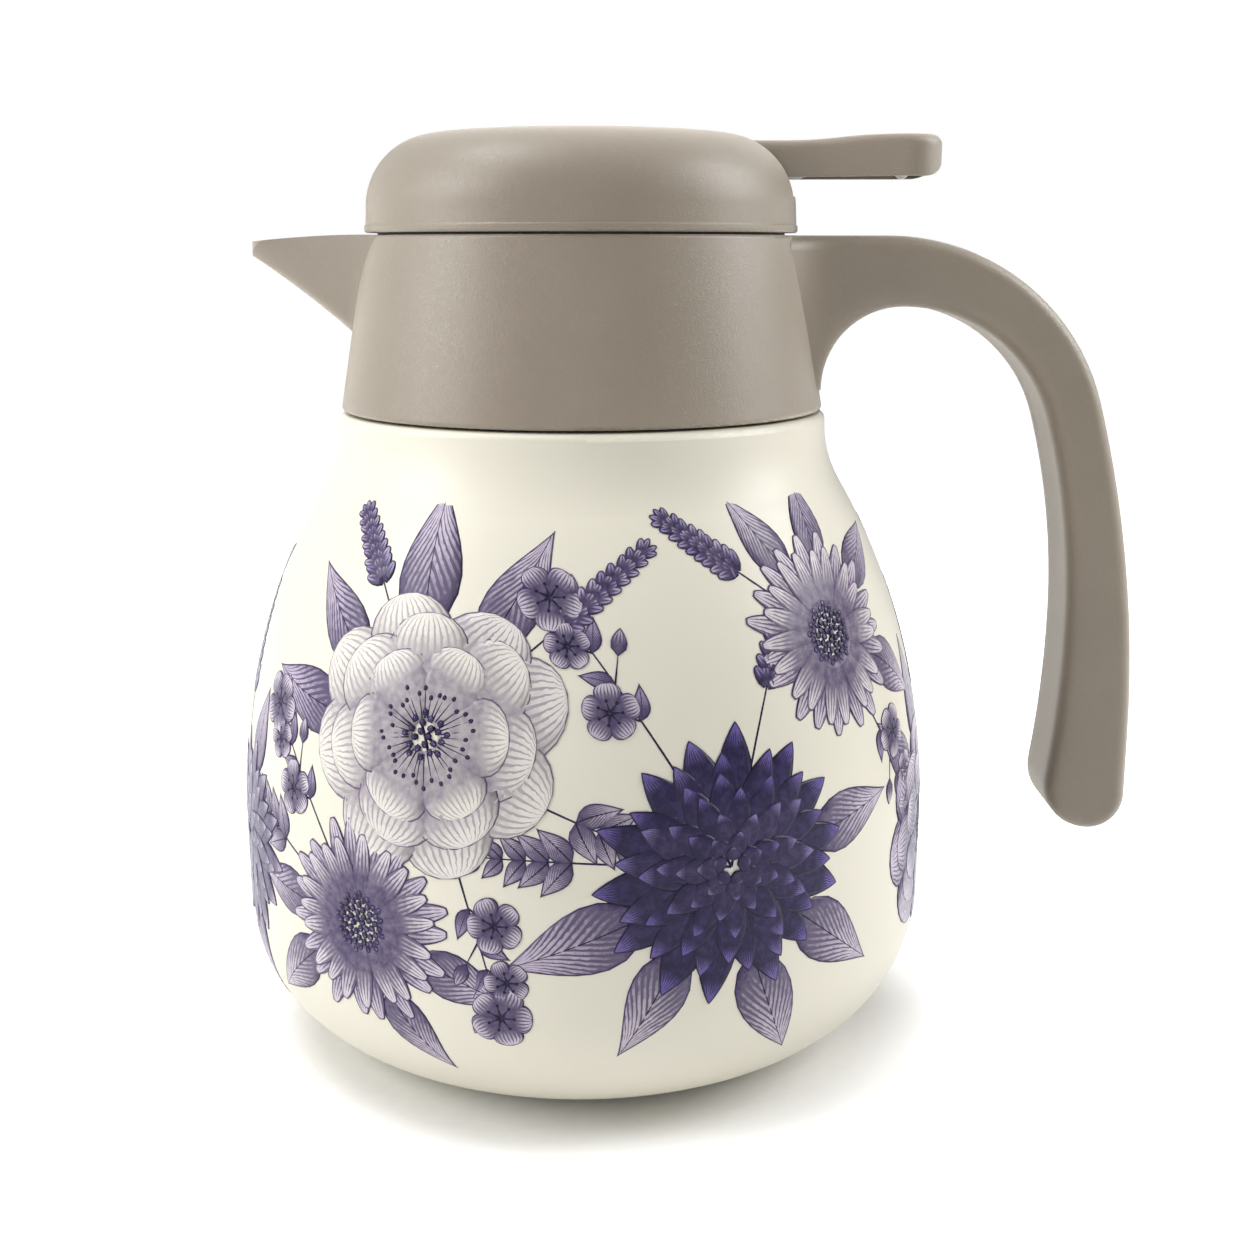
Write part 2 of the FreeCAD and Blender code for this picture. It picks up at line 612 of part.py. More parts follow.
def add_ribs(body, name, wall_radius, depth, low):
    """Short helical ribs on a round wall: low is the underside of a rib where it begins."""
    sketch = new_sketch(body, f"{name}_outline", "XZ_Plane")
    sink = dim("rib_taper") if depth.number < 0 else -dim("rib_taper")
    slope = dim("rib_taper")
    high = low + dim("rib_height")
    draw_outline(sketch, [
        (wall_radius + sink, low),
        (wall_radius + depth, low + slope),
        (wall_radius + depth, high - slope),
        (wall_radius + sink, high),
    ])
    rib = body.newObject("PartDesign::AdditiveHelix", name)
    rib.Profile = sketch
    rib.ReferenceAxis = (sketch, ["V_Axis"])
    rib.Mode = "pitch-turns-angle"
    rib.setExpression("Pitch", dim("thread_lead").text)
    rib.setExpression("Turns", (dim("thread_span") / 360).text)
    doc.recompute()
    pattern = body.newObject("PartDesign::PolarPattern", f"{name}_pattern")
    pattern.Originals = [rib]
    pattern.Axis = (sketch, ["V_Axis"])
    pattern.Angle = 360
    pattern.setExpression("Occurrences", dim("thread_starts").text)
    body.Tip = pattern


def cut_window(body, name, low, high, inner, outer):
    """Opening towards the spout through a wall between two radii."""
    half = dim("window_half")
    sketch = new_sketch(body, f"{name}_outline", "YZ_Plane", -(inner + outer) / 2)
    draw_outline(sketch, [(-half, low), (half, low), (half, high), (-half, high)])
    return extrude(body, name, sketch, outer, "PartDesign::Pocket")


# Collar with spout and handle, one moulding.

def spout_section(body, name, distance, half, top, depth, keel):
    """V-shaped section across the spout, with a round keel that its sides run into."""
    rise = depth - keel
    far = half * half + rise * rise
    length = root(far - keel * keel)
    touch_x = (keel * keel * half + keel * length * rise) / far
    touch_z = (keel * keel * rise - keel * length * half) / far
    centre = top - rise
    sketch = new_sketch(body, name, "YZ_Plane", -distance)
    draw_outline(sketch, [
        (half, top),
        (-half, top),
        (-touch_x, centre + touch_z),
        (0, top - depth, keel),
        (touch_x, centre + touch_z, keel),
    ])
    return sketch


def round_nose(body):
    """Trim the end of the spout to a round nose, seen from above."""
    nose = dim("spout_nose")
    reach = collar_top_radius + dim("spout_length")
    slope = (dim("spout_middle_half") - dim("spout_tip_half")) / (dim("spout_length") - dim("spout_swell"))
    length = root(1 + slope * slope)
    start_x = nose - reach - nose * slope / length
    start_y = nose / length
    sketch = new_sketch(body, "nose_outline", "XY_Plane")
    draw_outline(sketch, [
        (start_x, start_y),
        (-reach, 0, nose),
        (start_x, -start_y, nose),
        (start_x, -2 * nose),
        (-reach - nose, -2 * nose),
        (-reach - nose, 2 * nose),
        (start_x, 2 * nose),
    ])
    extrude(body, "nose_trim", sketch, 2 * lid_top, "PartDesign::Pocket")


def handle_places():
    """Corners of the handle's side outline that more than one piece needs."""
    lean_sine = sine(dim("arch_lean"))
    lean_cosine = cosine(dim("arch_lean"))
    arch_start = named("arch_start", collar_top_radius + dim("handle_run"))
    bend_x = named("bend_x", arch_start + dim("arch_radius") * lean_cosine)
    bend_z = named("bend_z", collar_top - dim("arch_radius") * (1 - lean_sine))
    return {
        "lean_sine": lean_sine,
        "lean_cosine": lean_cosine,
        "arch_start": arch_start,
        "bend_x": bend_x,
        "bend_z": bend_z,
        "back_x": named("back_x", bend_x + dim("back_radius") * (1 - lean_cosine)),
        "back_z": named("back_z", bend_z - dim("back_radius") * lean_sine),
    }


def handle_outline(places):
    """Side outline of the handle, from the collar along the back and up the grip face."""
    under_radius = dim("arch_radius") - dim("bend_depth")
    under_start = named("under_start", places["arch_start"] + dim("under_shift"))
    under_height = named("under_height", collar_top - dim("root_depth"))
    under_bend_x = named("under_bend_x", under_start + under_radius * places["lean_cosine"])
    under_bend_z = named("under_bend_z", under_height - under_radius * (1 - places["lean_sine"]))
    grip_x = named("grip_x", under_bend_x + dim("grip_radius") * (1 - places["lean_cosine"]))
    grip_z = named("grip_z", under_bend_z - dim("grip_radius") * places["lean_sine"])
    drop = dim("grip_low_length")
    low = dim("grip_low_radius")
    reach = named("grip_low_reach", root(low * low - drop * drop))
    end_x = named("handle_end_x", grip_x - low + reach)
    end_z = named("handle_end_z", grip_z - drop)
    centre_x = named("handle_tip_x", end_x + dim("end_radius") * reach / low)
    bottom = named("handle_bottom", end_z - dim("end_radius") * drop / low - dim("end_radius"))
    tip_radius = named("handle_tip_radius", places["back_x"] - centre_x)
    root_x = under_start - dim("root_radius")
    root_z = under_height - dim("root_radius")
    inside = deck_radius
    return [
        (inside, collar_top),
        (places["arch_start"], collar_top),
        (places["bend_x"], places["bend_z"], -dim("arch_radius")),
        (places["back_x"], places["back_z"], -dim("back_radius")),
        (places["back_x"], bottom + tip_radius),
        (centre_x, bottom, -tip_radius),
        (end_x, end_z, -dim("end_radius")),
        (grip_x, grip_z, low),
        (under_bend_x, under_bend_z, dim("grip_radius")),
        (under_start, under_height, under_radius),
        (root_x, root_z, dim("root_radius")),
        (inside, root_z),
    ]


def back_band(places, near, far, gap):
    """Outline of a band along the handle's back, between two depths below it."""
    lines = []
    for depth in (near, far):
        arch = dim("arch_radius") - depth
        lines.append([
            (places["arch_start"] + gap, collar_top - depth),
            (places["arch_start"] + arch * places["lean_cosine"],
             collar_top - dim("arch_radius") + arch * places["lean_sine"], arch),
            (places["back_x"] - depth, places["back_z"] + gap, dim("back_radius") - depth),
        ])
    outer, inner = lines
    return [
        outer[0],
        (outer[1][0], outer[1][1], -outer[1][2]),
        (outer[2][0], outer[2][1], -outer[2][2]),
        inner[2][:2],
        (inner[1][0], inner[1][1], inner[2][2]),
        (inner[0][0], inner[0][1], inner[1][2]),
    ]


def make_handle(body, places):
    half = dim("handle_width") / 2
    flare = dim("flare_radius")
    reach = collar_top_radius + flare
    centre_y = half + flare
    centre_x = root(reach * reach - centre_y * centre_y)
    touch_x = centre_x * collar_top_radius / reach
    touch_y = centre_y * collar_top_radius / reach
    extrude_side(body, "handle_pad", handle_outline(places), 2 * touch_y)
    sketch = new_sketch(body, "handle_sides", "XY_Plane")
    beyond = places["back_x"] + flare
    aside = touch_y + flare
    for side in (1, -1):
        draw_outline(sketch, [
            (centre_x, half * side, flare * side),
            (beyond, half * side),
            (beyond, aside * side),
            (touch_x, aside * side),
            (touch_x, touch_y * side),
        ])
    extrude(body, "handle_trim", sketch, 2 * lid_top, "PartDesign::Pocket")
    fillet(body, "handle_edges", dim("handle_edge"),
           lambda middle, edge: abs(abs(middle.y) - half.number) < NEAR and middle.x > centre_x.number)


def make_collar():
    body = new_body("collar")
    places = handle_places()
    make_handle(body, places)
    edge = dim("collar_edge")
    top = collar_top
    low_radius = collar_bottom_radius
    rim_radius = collar_top_radius
    revolve(body, "collar_turn", [
        (0, collar_bottom),
        (low_radius - edge, collar_bottom),
        (collar_outer(collar_bottom + edge), collar_bottom + edge, edge),
        (collar_outer(top - edge), top - edge),
        (rim_radius - edge, top, edge),
        (0, top),
    ])
    tip_top = top - dim("spout_tip_drop")
    spout_root = collar_top_radius - dim("spout_bury")
    spout_middle = collar_top_radius + dim("spout_swell")
    spout_reach = collar_top_radius + dim("spout_length")
    loft(body, "spout", [
        spout_section(body, "spout_inner", spout_root, dim("spout_root_half"), top,
                      dim("spout_root_depth"), dim("spout_keel")),
        spout_section(body, "spout_mid", spout_middle, dim("spout_middle_half"), top,
                      dim("spout_middle_depth"), dim("spout_keel")),
        spout_section(body, "spout_end", spout_reach, dim("spout_tip_half"), tip_top,
                      dim("spout_tip_depth"), dim("spout_tip_keel")),
    ], "PartDesign::AdditiveLoft")
    round_nose(body)
    wall = dim("collar_wall")
    spout_wall = dim("spout_wall")
    lip = dim("spout_lip")
    above = top + spout_wall
    inner = sleeve_outer + dim("sleeve_clearance")
    revolve(body, "collar_hollow", [
        (0, collar_bottom),
        (low_radius - wall, collar_bottom),
        (collar_outer(sleeve_shelf) - wall, sleeve_shelf),
        (inner, sleeve_shelf),
        (inner, web_top),
        (collar_outer(web_top) - wall, web_top),
        (rim_radius - wall, above),
        (0, above),
    ], "PartDesign::Groove")
    end_floor = tip_top - dim("spout_tip_depth") + dim("spout_tip_floor")
    middle_floor = (web_top + end_floor) / 2
    loft(body, "spout_channel", [
        spout_section(body, "channel_inner", spout_root - wall, dim("window_half"), above,
                      above - web_top, dim("channel_keel")),
        spout_section(body, "channel_mid", spout_middle, dim("spout_middle_half") - spout_wall, above,
                      above - middle_floor, dim("channel_middle_keel")),
        spout_section(body, "channel_end", spout_reach + spout_wall, dim("spout_tip_half") - lip, above,
                      above - end_floor, dim("spout_tip_keel")),
    ], "PartDesign::SubtractiveLoft")
    cover_half = dim("handle_width") / 2 - dim("handle_edge") - dim("cover_rim")
    bend_thickness = (dim("bend_depth") - dim("under_shift") * places["lean_cosine"]
                      + (dim("root_depth") - dim("bend_depth")) * places["lean_sine"])
    hollow_depth = named("hollow_depth", bend_thickness - dim("handle_wall"))
    extrude_side(body, "cover_seat", back_band(places, as_size(0), dim("cover_thickness"), as_size(0)),
                 2 * cover_half, "PartDesign::Pocket")
    extrude_side(body, "handle_hollow",
                 back_band(places, dim("cover_thickness"), hollow_depth, dim("cover_ledge")),
                 2 * (cover_half - dim("cover_ledge")), "PartDesign::Pocket")
    cover = new_body("handle_cover")
    gap = dim("cover_clearance")
    extrude_side(cover, "cover_pad", back_band(places, as_size(0), dim("cover_thickness") - gap, gap),
                 2 * (cover_half - gap))


# Lid pieces.

def screw_places():
    """Angles of the lid screws, half a step round from the lever."""
    count = int(dim("screw_count").number)
    return [(index + 0.5) * 360.0 / count for index in range(count)]


def add_posts(body, name, radius, low, length, kind, both=False):
    sketch = new_sketch(body, f"{name}_circles", "XY_Plane", low)
    for angle in screw_places():
        circle_x = screw_circle * math.cos(math.radians(angle))
        circle_y = screw_circle * math.sin(math.radians(angle))
        draw_circle(sketch, circle_x, circle_y, radius)
    return extrude(body, name, sketch, length, kind, both)


def make_lid_cover():
    body = new_body("lid_cover")
    wall = dim("lid_wall")
    crown = dim("lid_crown")
    top = lid_top
    side = named("lid_side_radius", lid_radius - dim("lid_draft"))
    arc_z = named("lid_arc_z", lid_bottom + dim("lid_side"))
    centre_rise = named("lid_centre_rise", crown - (top - arc_z))
    shoulder = named("lid_shoulder",
                     (crown * crown - side * side - centre_rise * centre_rise) / (2 * (crown - side)))
    arc_x = named("lid_arc_x", side - shoulder)
    span = named("lid_span", crown - shoulder)
    meet_x = arc_x * crown / span
    meet_z = top - crown + centre_rise * crown / span
    inner_crown = crown - wall
    under_x = arc_x * inner_crown / span
    under_z = top - crown + centre_rise * inner_crown / span
    edge = dim("lid_edge")
    bead = lid_radius
    bead_top = lid_bottom + dim("lid_bead")
    revolve(body, "dome", [
        (bead - wall, lid_bottom),
        (bead - edge, lid_bottom),
        (bead, lid_bottom + edge, edge),
        (bead, bead_top),
        (bead - dim("lid_bead_step"), bead_top + dim("lid_bead_step")),
        (side, arc_z),
        (meet_x, meet_z, shoulder),
        (0, top, crown),
        (0, top - wall),
        (under_x, under_z, wall - crown),
        (side - wall, arc_z, wall - shoulder),
    ])
    post_radius = dim("screw_radius") + dim("post_wall")
    add_posts(body, "posts", post_radius, deck_top, dim("post_height"), "PartDesign::Pad")
    add_posts(body, "post_holes", dim("screw_radius") + dim("press_fit"), deck_top, 2 * dim("post_height"),
              "PartDesign::Pocket", both=True)
    outside = lid_radius + wall
    above = top + wall
    slot_half = lever_root_half + dim("slot_clearance")
    slot_bottom = lever_top - dim("lever_web") - dim("slot_room")
    extrude_side(body, "lever_slot", [
        (slot_front, slot_bottom),
        (outside, slot_bottom),
        (outside, above),
        (slot_front, above),
    ], 2 * slot_half, "PartDesign::Pocket")

    def on_outside(middle):
        radius = math.hypot(middle.x, middle.y)
        from_crown = math.hypot(radius, middle.z - top.number + crown.number)
        from_shoulder = math.hypot(radius - arc_x.number, middle.z - arc_z.number)
        return abs(from_crown - crown.number) < NEAR or abs(from_shoulder - shoulder.number) < NEAR

    fillet(body, "slot_edges", dim("slot_edge"),
           lambda middle, edge: on_outside(middle) and middle.x > slot_front.number - NEAR
           and abs(abs(middle.y) - slot_half.number) < NEAR)


def make_screws():
    screws = []
    for index, angle in enumerate(screw_places(), start=1):
        head = doc.addObject("Part::Cylinder", f"screw_head_{index}")
        head.setExpression("Radius", dim("screw_head_radius").text)
        head.setExpression("Height", dim("screw_head_height").text)
        shank = doc.addObject("Part::Cylinder", f"screw_shank_{index}")
        shank.setExpression("Radius", dim("screw_radius").text)
        shank.setExpression("Height", (dim("screw_head_height") + dim("screw_length")).text)
        for item in (head, shank):
            place(item, screw_circle * math.cos(math.radians(angle)),
                  screw_circle * math.sin(math.radians(angle)), deck_bottom)
        screw = doc.addObject("Part::Fuse", f"screw_{index}")
        screw.Base = head
        screw.Tool = shank
        screws.append(screw)
    group = doc.addObject("Part::Compound", "lid_screws")
    group.Label = "lid_screws"
    group.Links = screws
    parts.append(group)


def make_stopper():
    body = new_body("stopper_body")
    outer = stopper_radius
    inner = outer - dim("stopper_wall")
    groove_low = stopper_bottom + dim("groove_rise")
    groove_high = groove_low + dim("groove_width")
    groove_radius = outer - dim("groove_depth")
    bore = dim("stem_radius") + dim("pin_fit")
    seal_outer = bore + 2 * dim("stem_seal_radius")
    seal_height = deck_top + dim("seal_rise")
    seal_low = seal_height - dim("stem_seal_radius")
    seal_high = seal_height + dim("stem_seal_radius")
    boss_radius = seal_outer + dim("boss_wall")
    revolve(body, "stopper_turn", [
        (dim("seat_radius"), stopper_bottom),
        (outer, stopper_bottom),
        (outer, groove_low),
        (groove_radius, groove_low),
        (groove_radius, groove_high),
        (outer, groove_high),
        (outer, deck_bottom),
        (deck_radius, deck_bottom),
        (deck_radius, deck_top),
        (boss_radius, deck_top),
        (boss_radius, boss_top),
        (bore, boss_top),
        (bore, seal_high),
        (seal_outer, seal_high),
        (seal_outer, seal_low),
        (bore, seal_low),
        (bore, deck_bottom),
        (inner, deck_bottom),
        (inner, floor_top),
        (dim("seat_radius"), floor_top),
    ])
    rib_low = sleeve_seat + dim("rib_start") - dim("rib_height") - dim("rib_play") + dim("rib_taper")
    add_ribs(body, "stopper_rib", outer, sleeve_bore - dim("rib_gap") - outer, rib_low)
    cut_window(body, "stopper_window", web_top, deck_bottom, inner, outer)
    ear_radius = dim("pin_radius") + dim("ear_wall")
    ear = [
        (pivot_x - ear_radius, deck_top),
        (pivot_x + ear_radius, deck_top),
        (pivot_x + ear_radius, pivot_z),
        (pivot_x, pivot_z + ear_radius, ear_radius),
        (pivot_x - ear_radius, pivot_z, ear_radius),
    ]
    extrude_side(body, "ears", ear, 2 * ear_outer)
    extrude_side(body, "ear_space", ear, 2 * ear_inner, "PartDesign::Pocket")
    sketch = new_sketch(body, "pin_hole_circle", "XZ_Plane")
    draw_circle(sketch, pivot_x, pivot_z, dim("pin_radius") + dim("press_fit"))
    extrude(body, "pin_hole", sketch, 3 * ear_outer, "PartDesign::Pocket")
    add_posts(body, "screw_holes", dim("screw_radius") + dim("screw_clearance"), deck_bottom,
              3 * dim("deck_thickness"), "PartDesign::Pocket", both=True)
    add_posts(body, "screw_heads", dim("screw_head_radius") + dim("screw_clearance"), deck_bottom,
              2 * dim("screw_head_height"), "PartDesign::Pocket", both=True)
    gap = dim("seal_clearance")
    ring_body("stopper_gasket", groove_radius + gap, dim("mouth_radius") - dim("mouth_clearance"),
              groove_low + gap, groove_high - gap)
    seal = doc.addObject("Part::Torus", "stem_seal")
    seal.Label = "stem_seal"
    seal.setExpression("Radius1", (bore + dim("stem_seal_radius")).text)
    seal.setExpression("Radius2", dim("stem_seal_radius").text)
    place(seal, z=seal_height)
    parts.append(seal)


def lever_plan(front, start, root_half, bend, reach, corner):
    """Outline of the lever seen from above: narrow in the lid, with sides that spread to a round end."""
    lean_sine = sine(dim("lever_angle"))
    lean_cosine = cosine(dim("lever_angle"))
    bend_x = start + bend * lean_sine
    bend_y = root_half + bend * (1 - lean_cosine)
    touch_x = reach - corner - corner * lean_sine
    touch_y = bend_y + (touch_x - bend_x) * lean_sine / lean_cosine
    end_y = touch_y - corner * lean_cosine
    return [
        (front, -root_half),
        (start, -root_half),
        (bend_x, -bend_y, -bend),
        (touch_x, -touch_y),
        (reach, -end_y, corner),
        (reach, end_y),
        (touch_x, touch_y, corner),
        (bend_x, bend_y),
        (start, root_half, -bend),
        (front, root_half),
    ]


def make_lever():
    body = new_body("lever")
    hub = dim("pin_radius") + dim("hub_wall")
    top = lever_top
    thumb = top + dim("thumb_rise")
    web = top - dim("lever_web")
    front = slot_front + dim("lever_gap")
    reach = lid_radius + dim("lever_length")
    thumb_start = reach - dim("thumb_length")
    flat_end = thumb_start - dim("thumb_run")
    skirt_start = lid_radius - dim("skirt_setback")
    skirt = top - dim("lever_depth")
    skirt_end = skirt + dim("skirt_rise")
    heel = dim("lever_heel")
    skin = dim("lever_skin")
    thumb_x, thumb_z, thumb_bend = rise_between(flat_end, top, thumb_start, thumb)
    extrude_side(body, "lever_pad", [
        (pivot_x - hub, pivot_z),
        (pivot_x, pivot_z - hub, hub),
        (pivot_x + hub, pivot_z, hub),
        (pivot_x + hub + skin, web),
        (skirt_start, web),
        (skirt_start + skin, skirt),
        (reach - heel, skirt_end),
        (reach, skirt_end + heel, heel),
        (reach, thumb),
        (thumb_start, thumb),
        (thumb_x, thumb_z, thumb_bend),
        (flat_end, top, -thumb_bend),
        (front, top),
        (front, web),
        (pivot_x - hub, pivot_z + hub),
    ], dim("lever_width"))
    shift = skin / 2
    hollow_front = lid_radius + shift
    spread = hollow_front + shift
    corner = dim("lever_corner")
    bend = dim("lever_bend")
    aside = dim("lever_width")
    beyond = reach + corner
    trim = new_sketch(body, "lever_trim_outline", "XY_Plane")
    draw_outline(trim, [(-corner, -aside), (beyond, -aside), (beyond, aside), (-corner, aside)])
    draw_outline(trim, lever_plan(0, spread, lever_root_half, bend, reach, corner))
    extrude(body, "lever_trim", trim, 3 * lid_top, "PartDesign::Pocket")
    hollow = new_sketch(body, "lever_hollow_outline", "XY_Plane", skirt)
    draw_outline(hollow, lever_plan(hollow_front, spread, lever_root_half - skin, bend + skin,
                                    reach - skin, corner - skin))
    extrude(body, "lever_hollow", hollow, 2 * (dim("lever_depth") - skin), "PartDesign::Pocket")
    fillet(body, "lever_top_edges", dim("lever_edge"),
           lambda middle, edge: middle.x > front.number + NEAR and middle.z > top.number - NEAR
           and (abs(middle.y) > lever_root_half.number - NEAR or middle.x > reach.number - NEAR))
    slot = dim("pin_radius") + dim("fork_play")
    arm_half = slot + dim("fork_wall")
    fork_inner = dim("stem_radius") + dim("fork_room")
    fork_outer = fork_inner + dim("fork_arm")
    fork_end = -dim("fork_reach")
    extrude_side(body, "fork", [
        (fork_end, pivot_z - arm_half),
        (pivot_x, pivot_z - arm_half),
        (pivot_x, pivot_z + arm_half),
        (fork_end, pivot_z + arm_half),
    ], 2 * fork_outer)
    behind = pivot_x - hub - skin
    ahead = 2 * fork_end
    extrude_side(body, "fork_space", [
        (ahead, pivot_z - 2 * arm_half),
        (behind, pivot_z - 2 * arm_half),
        (behind, pivot_z + 2 * arm_half),
        (ahead, pivot_z + 2 * arm_half),
    ], 2 * fork_inner, "PartDesign::Pocket")
    extrude_side(body, "lift_slot", [
        (ahead, pivot_z - slot),
        (dim("fork_slot"), pivot_z - slot),
        (dim("fork_slot"), pivot_z + slot),
        (ahead, pivot_z + slot),
    ], 3 * fork_outer, "PartDesign::Pocket")
    sketch = new_sketch(body, "hub_bore_circle", "XZ_Plane")
    draw_circle(sketch, pivot_x, pivot_z, dim("pin_radius") + dim("pin_fit"))
    extrude(body, "hub_bore", sketch, 2 * dim("lever_width"), "PartDesign::Pocket")
    cross_pin("lever_pin", dim("pin_radius"), ear_outer, pivot_x, pivot_z)
    bumper = dim("bumper_radius")
    bumper_end = skirt - dim("bumper_drop")
    peg = new_body("lever_bumper")
    revolve(peg, "bumper_turn", [
        (0, bumper_end),
        (bumper, bumper_end + bumper, bumper),
        (bumper, top - skin),
        (0, top - skin),
    ])
    place(peg, x=reach - dim("bumper_inset"))
    cross_pin("lift_pin", dim("pin_radius"), fork_outer + skin / 2, as_size(0), pivot_z)


def make_valve():
    stem = dim("stem_radius")
    head_bottom = floor_top - dim("stem_head_height")
    clip_low = plug_top
    clip_high = clip_low + dim("clip_height")
    groove = stem - dim("clip_groove")
    stem_top = pivot_z + dim("stem_over")
    seal_radius = dim("seat_radius") + dim("seal_lap")
    clip_radius = stem + dim("clip_lap")
    body = new_body("valve_stem")
    revolve(body, "stem_turn", [
        (0, head_bottom),
        (dim("stem_head_radius"), head_bottom),
        (dim("stem_head_radius"), floor_top),
        (stem, floor_top),
        (stem, clip_low),
        (groove, clip_low),
        (groove, clip_high),
        (stem, clip_high),
        (stem, stem_top),
        (0, stem_top),
    ])
    sketch = new_sketch(body, "lift_hole_circle", "XZ_Plane")
    draw_circle(sketch, 0, pivot_z, dim("pin_radius") + dim("press_fit"))
    extrude(body, "lift_hole", sketch, 3 * stem, "PartDesign::Pocket")
    fit = dim("press_fit")
    ring_body("valve_seal", stem + fit, seal_radius, floor_top, plug_bottom)
    ring_body("valve_plug", stem + fit, seal_radius - dim("plug_margin"), plug_bottom, plug_top)
    ring_body("stem_clip", groove + fit, clip_radius, clip_low, clip_high)
    spring_inner = clip_radius + dim("spring_room")
    ring_body("valve_spring", spring_inner, spring_inner + dim("spring_wire"), plug_top, deck_bottom)


def write_parts():
    """Check every object, then write one file for each piece."""
    doc.recompute()
    for item in doc.Objects:
        if "Invalid" in item.State or "Error" in item.State:
            raise RuntimeError(f"{item.Name} failed: {item.State}")
    for part in parts:
        if part.Shape.isNull() or not part.Shape.isValid():
            raise RuntimeError(f"{part.Label} has no valid shape")
    os.makedirs("parts", exist_ok=True)
    for part in parts:
        part.Shape.exportStep(f"parts/{part.Label}.step")
        print(part.Label, len(part.Shape.Solids), round(part.Shape.Volume, 1))


make_outer_shell()
make_inner_flask()
make_bottom()
make_neck_sleeve()
make_collar()
make_lid_cover()
make_screws()
make_stopper()
make_lever()
make_valve()
write_parts()
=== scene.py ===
import json
import math
import random

import bpy
from mathutils import Matrix, Vector


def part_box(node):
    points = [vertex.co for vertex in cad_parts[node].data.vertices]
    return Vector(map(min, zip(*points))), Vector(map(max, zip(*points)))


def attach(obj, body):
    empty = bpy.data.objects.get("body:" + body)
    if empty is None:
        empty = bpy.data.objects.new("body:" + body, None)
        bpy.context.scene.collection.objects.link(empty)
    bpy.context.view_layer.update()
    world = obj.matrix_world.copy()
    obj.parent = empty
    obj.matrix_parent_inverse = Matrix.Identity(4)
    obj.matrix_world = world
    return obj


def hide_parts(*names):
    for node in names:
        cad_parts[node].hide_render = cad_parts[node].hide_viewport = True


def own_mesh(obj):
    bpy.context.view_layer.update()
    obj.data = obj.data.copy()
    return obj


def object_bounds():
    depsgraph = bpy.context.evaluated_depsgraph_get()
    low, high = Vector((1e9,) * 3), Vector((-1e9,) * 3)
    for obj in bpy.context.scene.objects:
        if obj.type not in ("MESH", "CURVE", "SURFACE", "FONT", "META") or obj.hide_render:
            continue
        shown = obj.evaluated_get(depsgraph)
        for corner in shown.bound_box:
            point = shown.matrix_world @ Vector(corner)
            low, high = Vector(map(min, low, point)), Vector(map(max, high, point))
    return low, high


# Looks of a vacuum serving jug: finishes for its pieces, a coiled valve spring and a flower print.
# Lengths are in millimetres and are turned into metres by MM.

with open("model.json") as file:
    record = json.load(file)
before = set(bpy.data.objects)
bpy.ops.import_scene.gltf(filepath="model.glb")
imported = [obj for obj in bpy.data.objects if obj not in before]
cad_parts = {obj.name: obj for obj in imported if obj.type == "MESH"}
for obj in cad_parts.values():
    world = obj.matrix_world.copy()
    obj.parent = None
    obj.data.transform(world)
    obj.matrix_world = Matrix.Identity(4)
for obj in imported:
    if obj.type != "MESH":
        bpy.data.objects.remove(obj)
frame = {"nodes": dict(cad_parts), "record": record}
nodes = frame["nodes"]
cad_low, cad_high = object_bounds()

MM = 0.001
FULL_TURN = 2 * math.pi
WHITE = (1, 1, 1, 1)


# Node helpers.

def srgb(red, green, blue):
    """Colour written as it looks on a screen, 0 to 255."""
    def linear(value):
        share = value / 255
        return share / 12.92 if share <= 0.04045 else ((share + 0.055) / 1.055) ** 2.4
    return (linear(red), linear(green), linear(blue), 1.0)


def add_node(tree, kind, inputs=None, **settings):
    """New shader node. An input is a number, a colour, or another node's output socket."""
    node = tree.nodes.new(kind)
    for key, value in settings.items():
        setattr(node, key, value)
    for socket, value in (inputs or {}).items():
        if isinstance(value, bpy.types.NodeSocket):
            tree.links.new(value, node.inputs[socket])
        else:
            node.inputs[socket].default_value = value
    return node


def calc(tree, operation, first, second=0.0, clamp=False):
    """One sum of two numbers."""
    node = add_node(tree, "ShaderNodeMath", {0: first, 1: second}, operation=operation, use_clamp=clamp)
    return node.outputs[0]


# Places of the colours among the mix node's sockets.
MIX_FIRST = 6
MIX_SECOND = 7
MIX_RESULT = 2


def blend_colour(tree, share, first, second):
    inputs = {"Factor": share, MIX_FIRST: first, MIX_SECOND: second}
    return add_node(tree, "ShaderNodeMix", inputs, data_type="RGBA").outputs[MIX_RESULT]


def remap(tree, value, low, high, to_low=0.0, to_high=1.0, smooth=True):
    """Value carried from one range to another and held at its ends."""
    kind = "SMOOTHSTEP" if smooth else "LINEAR"
    limits = {"Value": value, "From Min": low, "From Max": high, "To Min": to_low, "To Max": to_high}
    return add_node(tree, "ShaderNodeMapRange", limits, interpolation_type=kind).outputs[0]


def ramp(tree, value, stops):
    """Colour that follows a value through stops of (place, colour)."""
    node = add_node(tree, "ShaderNodeValToRGB", {"Fac": value})
    elements = node.color_ramp.elements
    while len(elements) < len(stops):
        elements.new(1.0)
    for element, (place, colour) in zip(elements, stops):
        element.position = place
        element.color = colour
    return node.outputs[0]


def millimetres(tree, stretch=(1, 1, 1)):
    """The piece's own coordinates in millimetres, stretched along an axis where asked."""
    place = add_node(tree, "ShaderNodeTexCoord").outputs["Object"]
    scale = tuple(value / MM for value in stretch)
    return add_node(tree, "ShaderNodeMapping", {"Vector": place, "Scale": scale}).outputs[0]


def noise(tree, place, scale, detail=2.0, rough=0.5, distortion=0.0):
    node = add_node(tree, "ShaderNodeTexNoise", {"Vector": place, "Scale": scale, "Detail": detail,
                                                 "Roughness": rough, "Distortion": distortion})
    return node.outputs["Fac"]


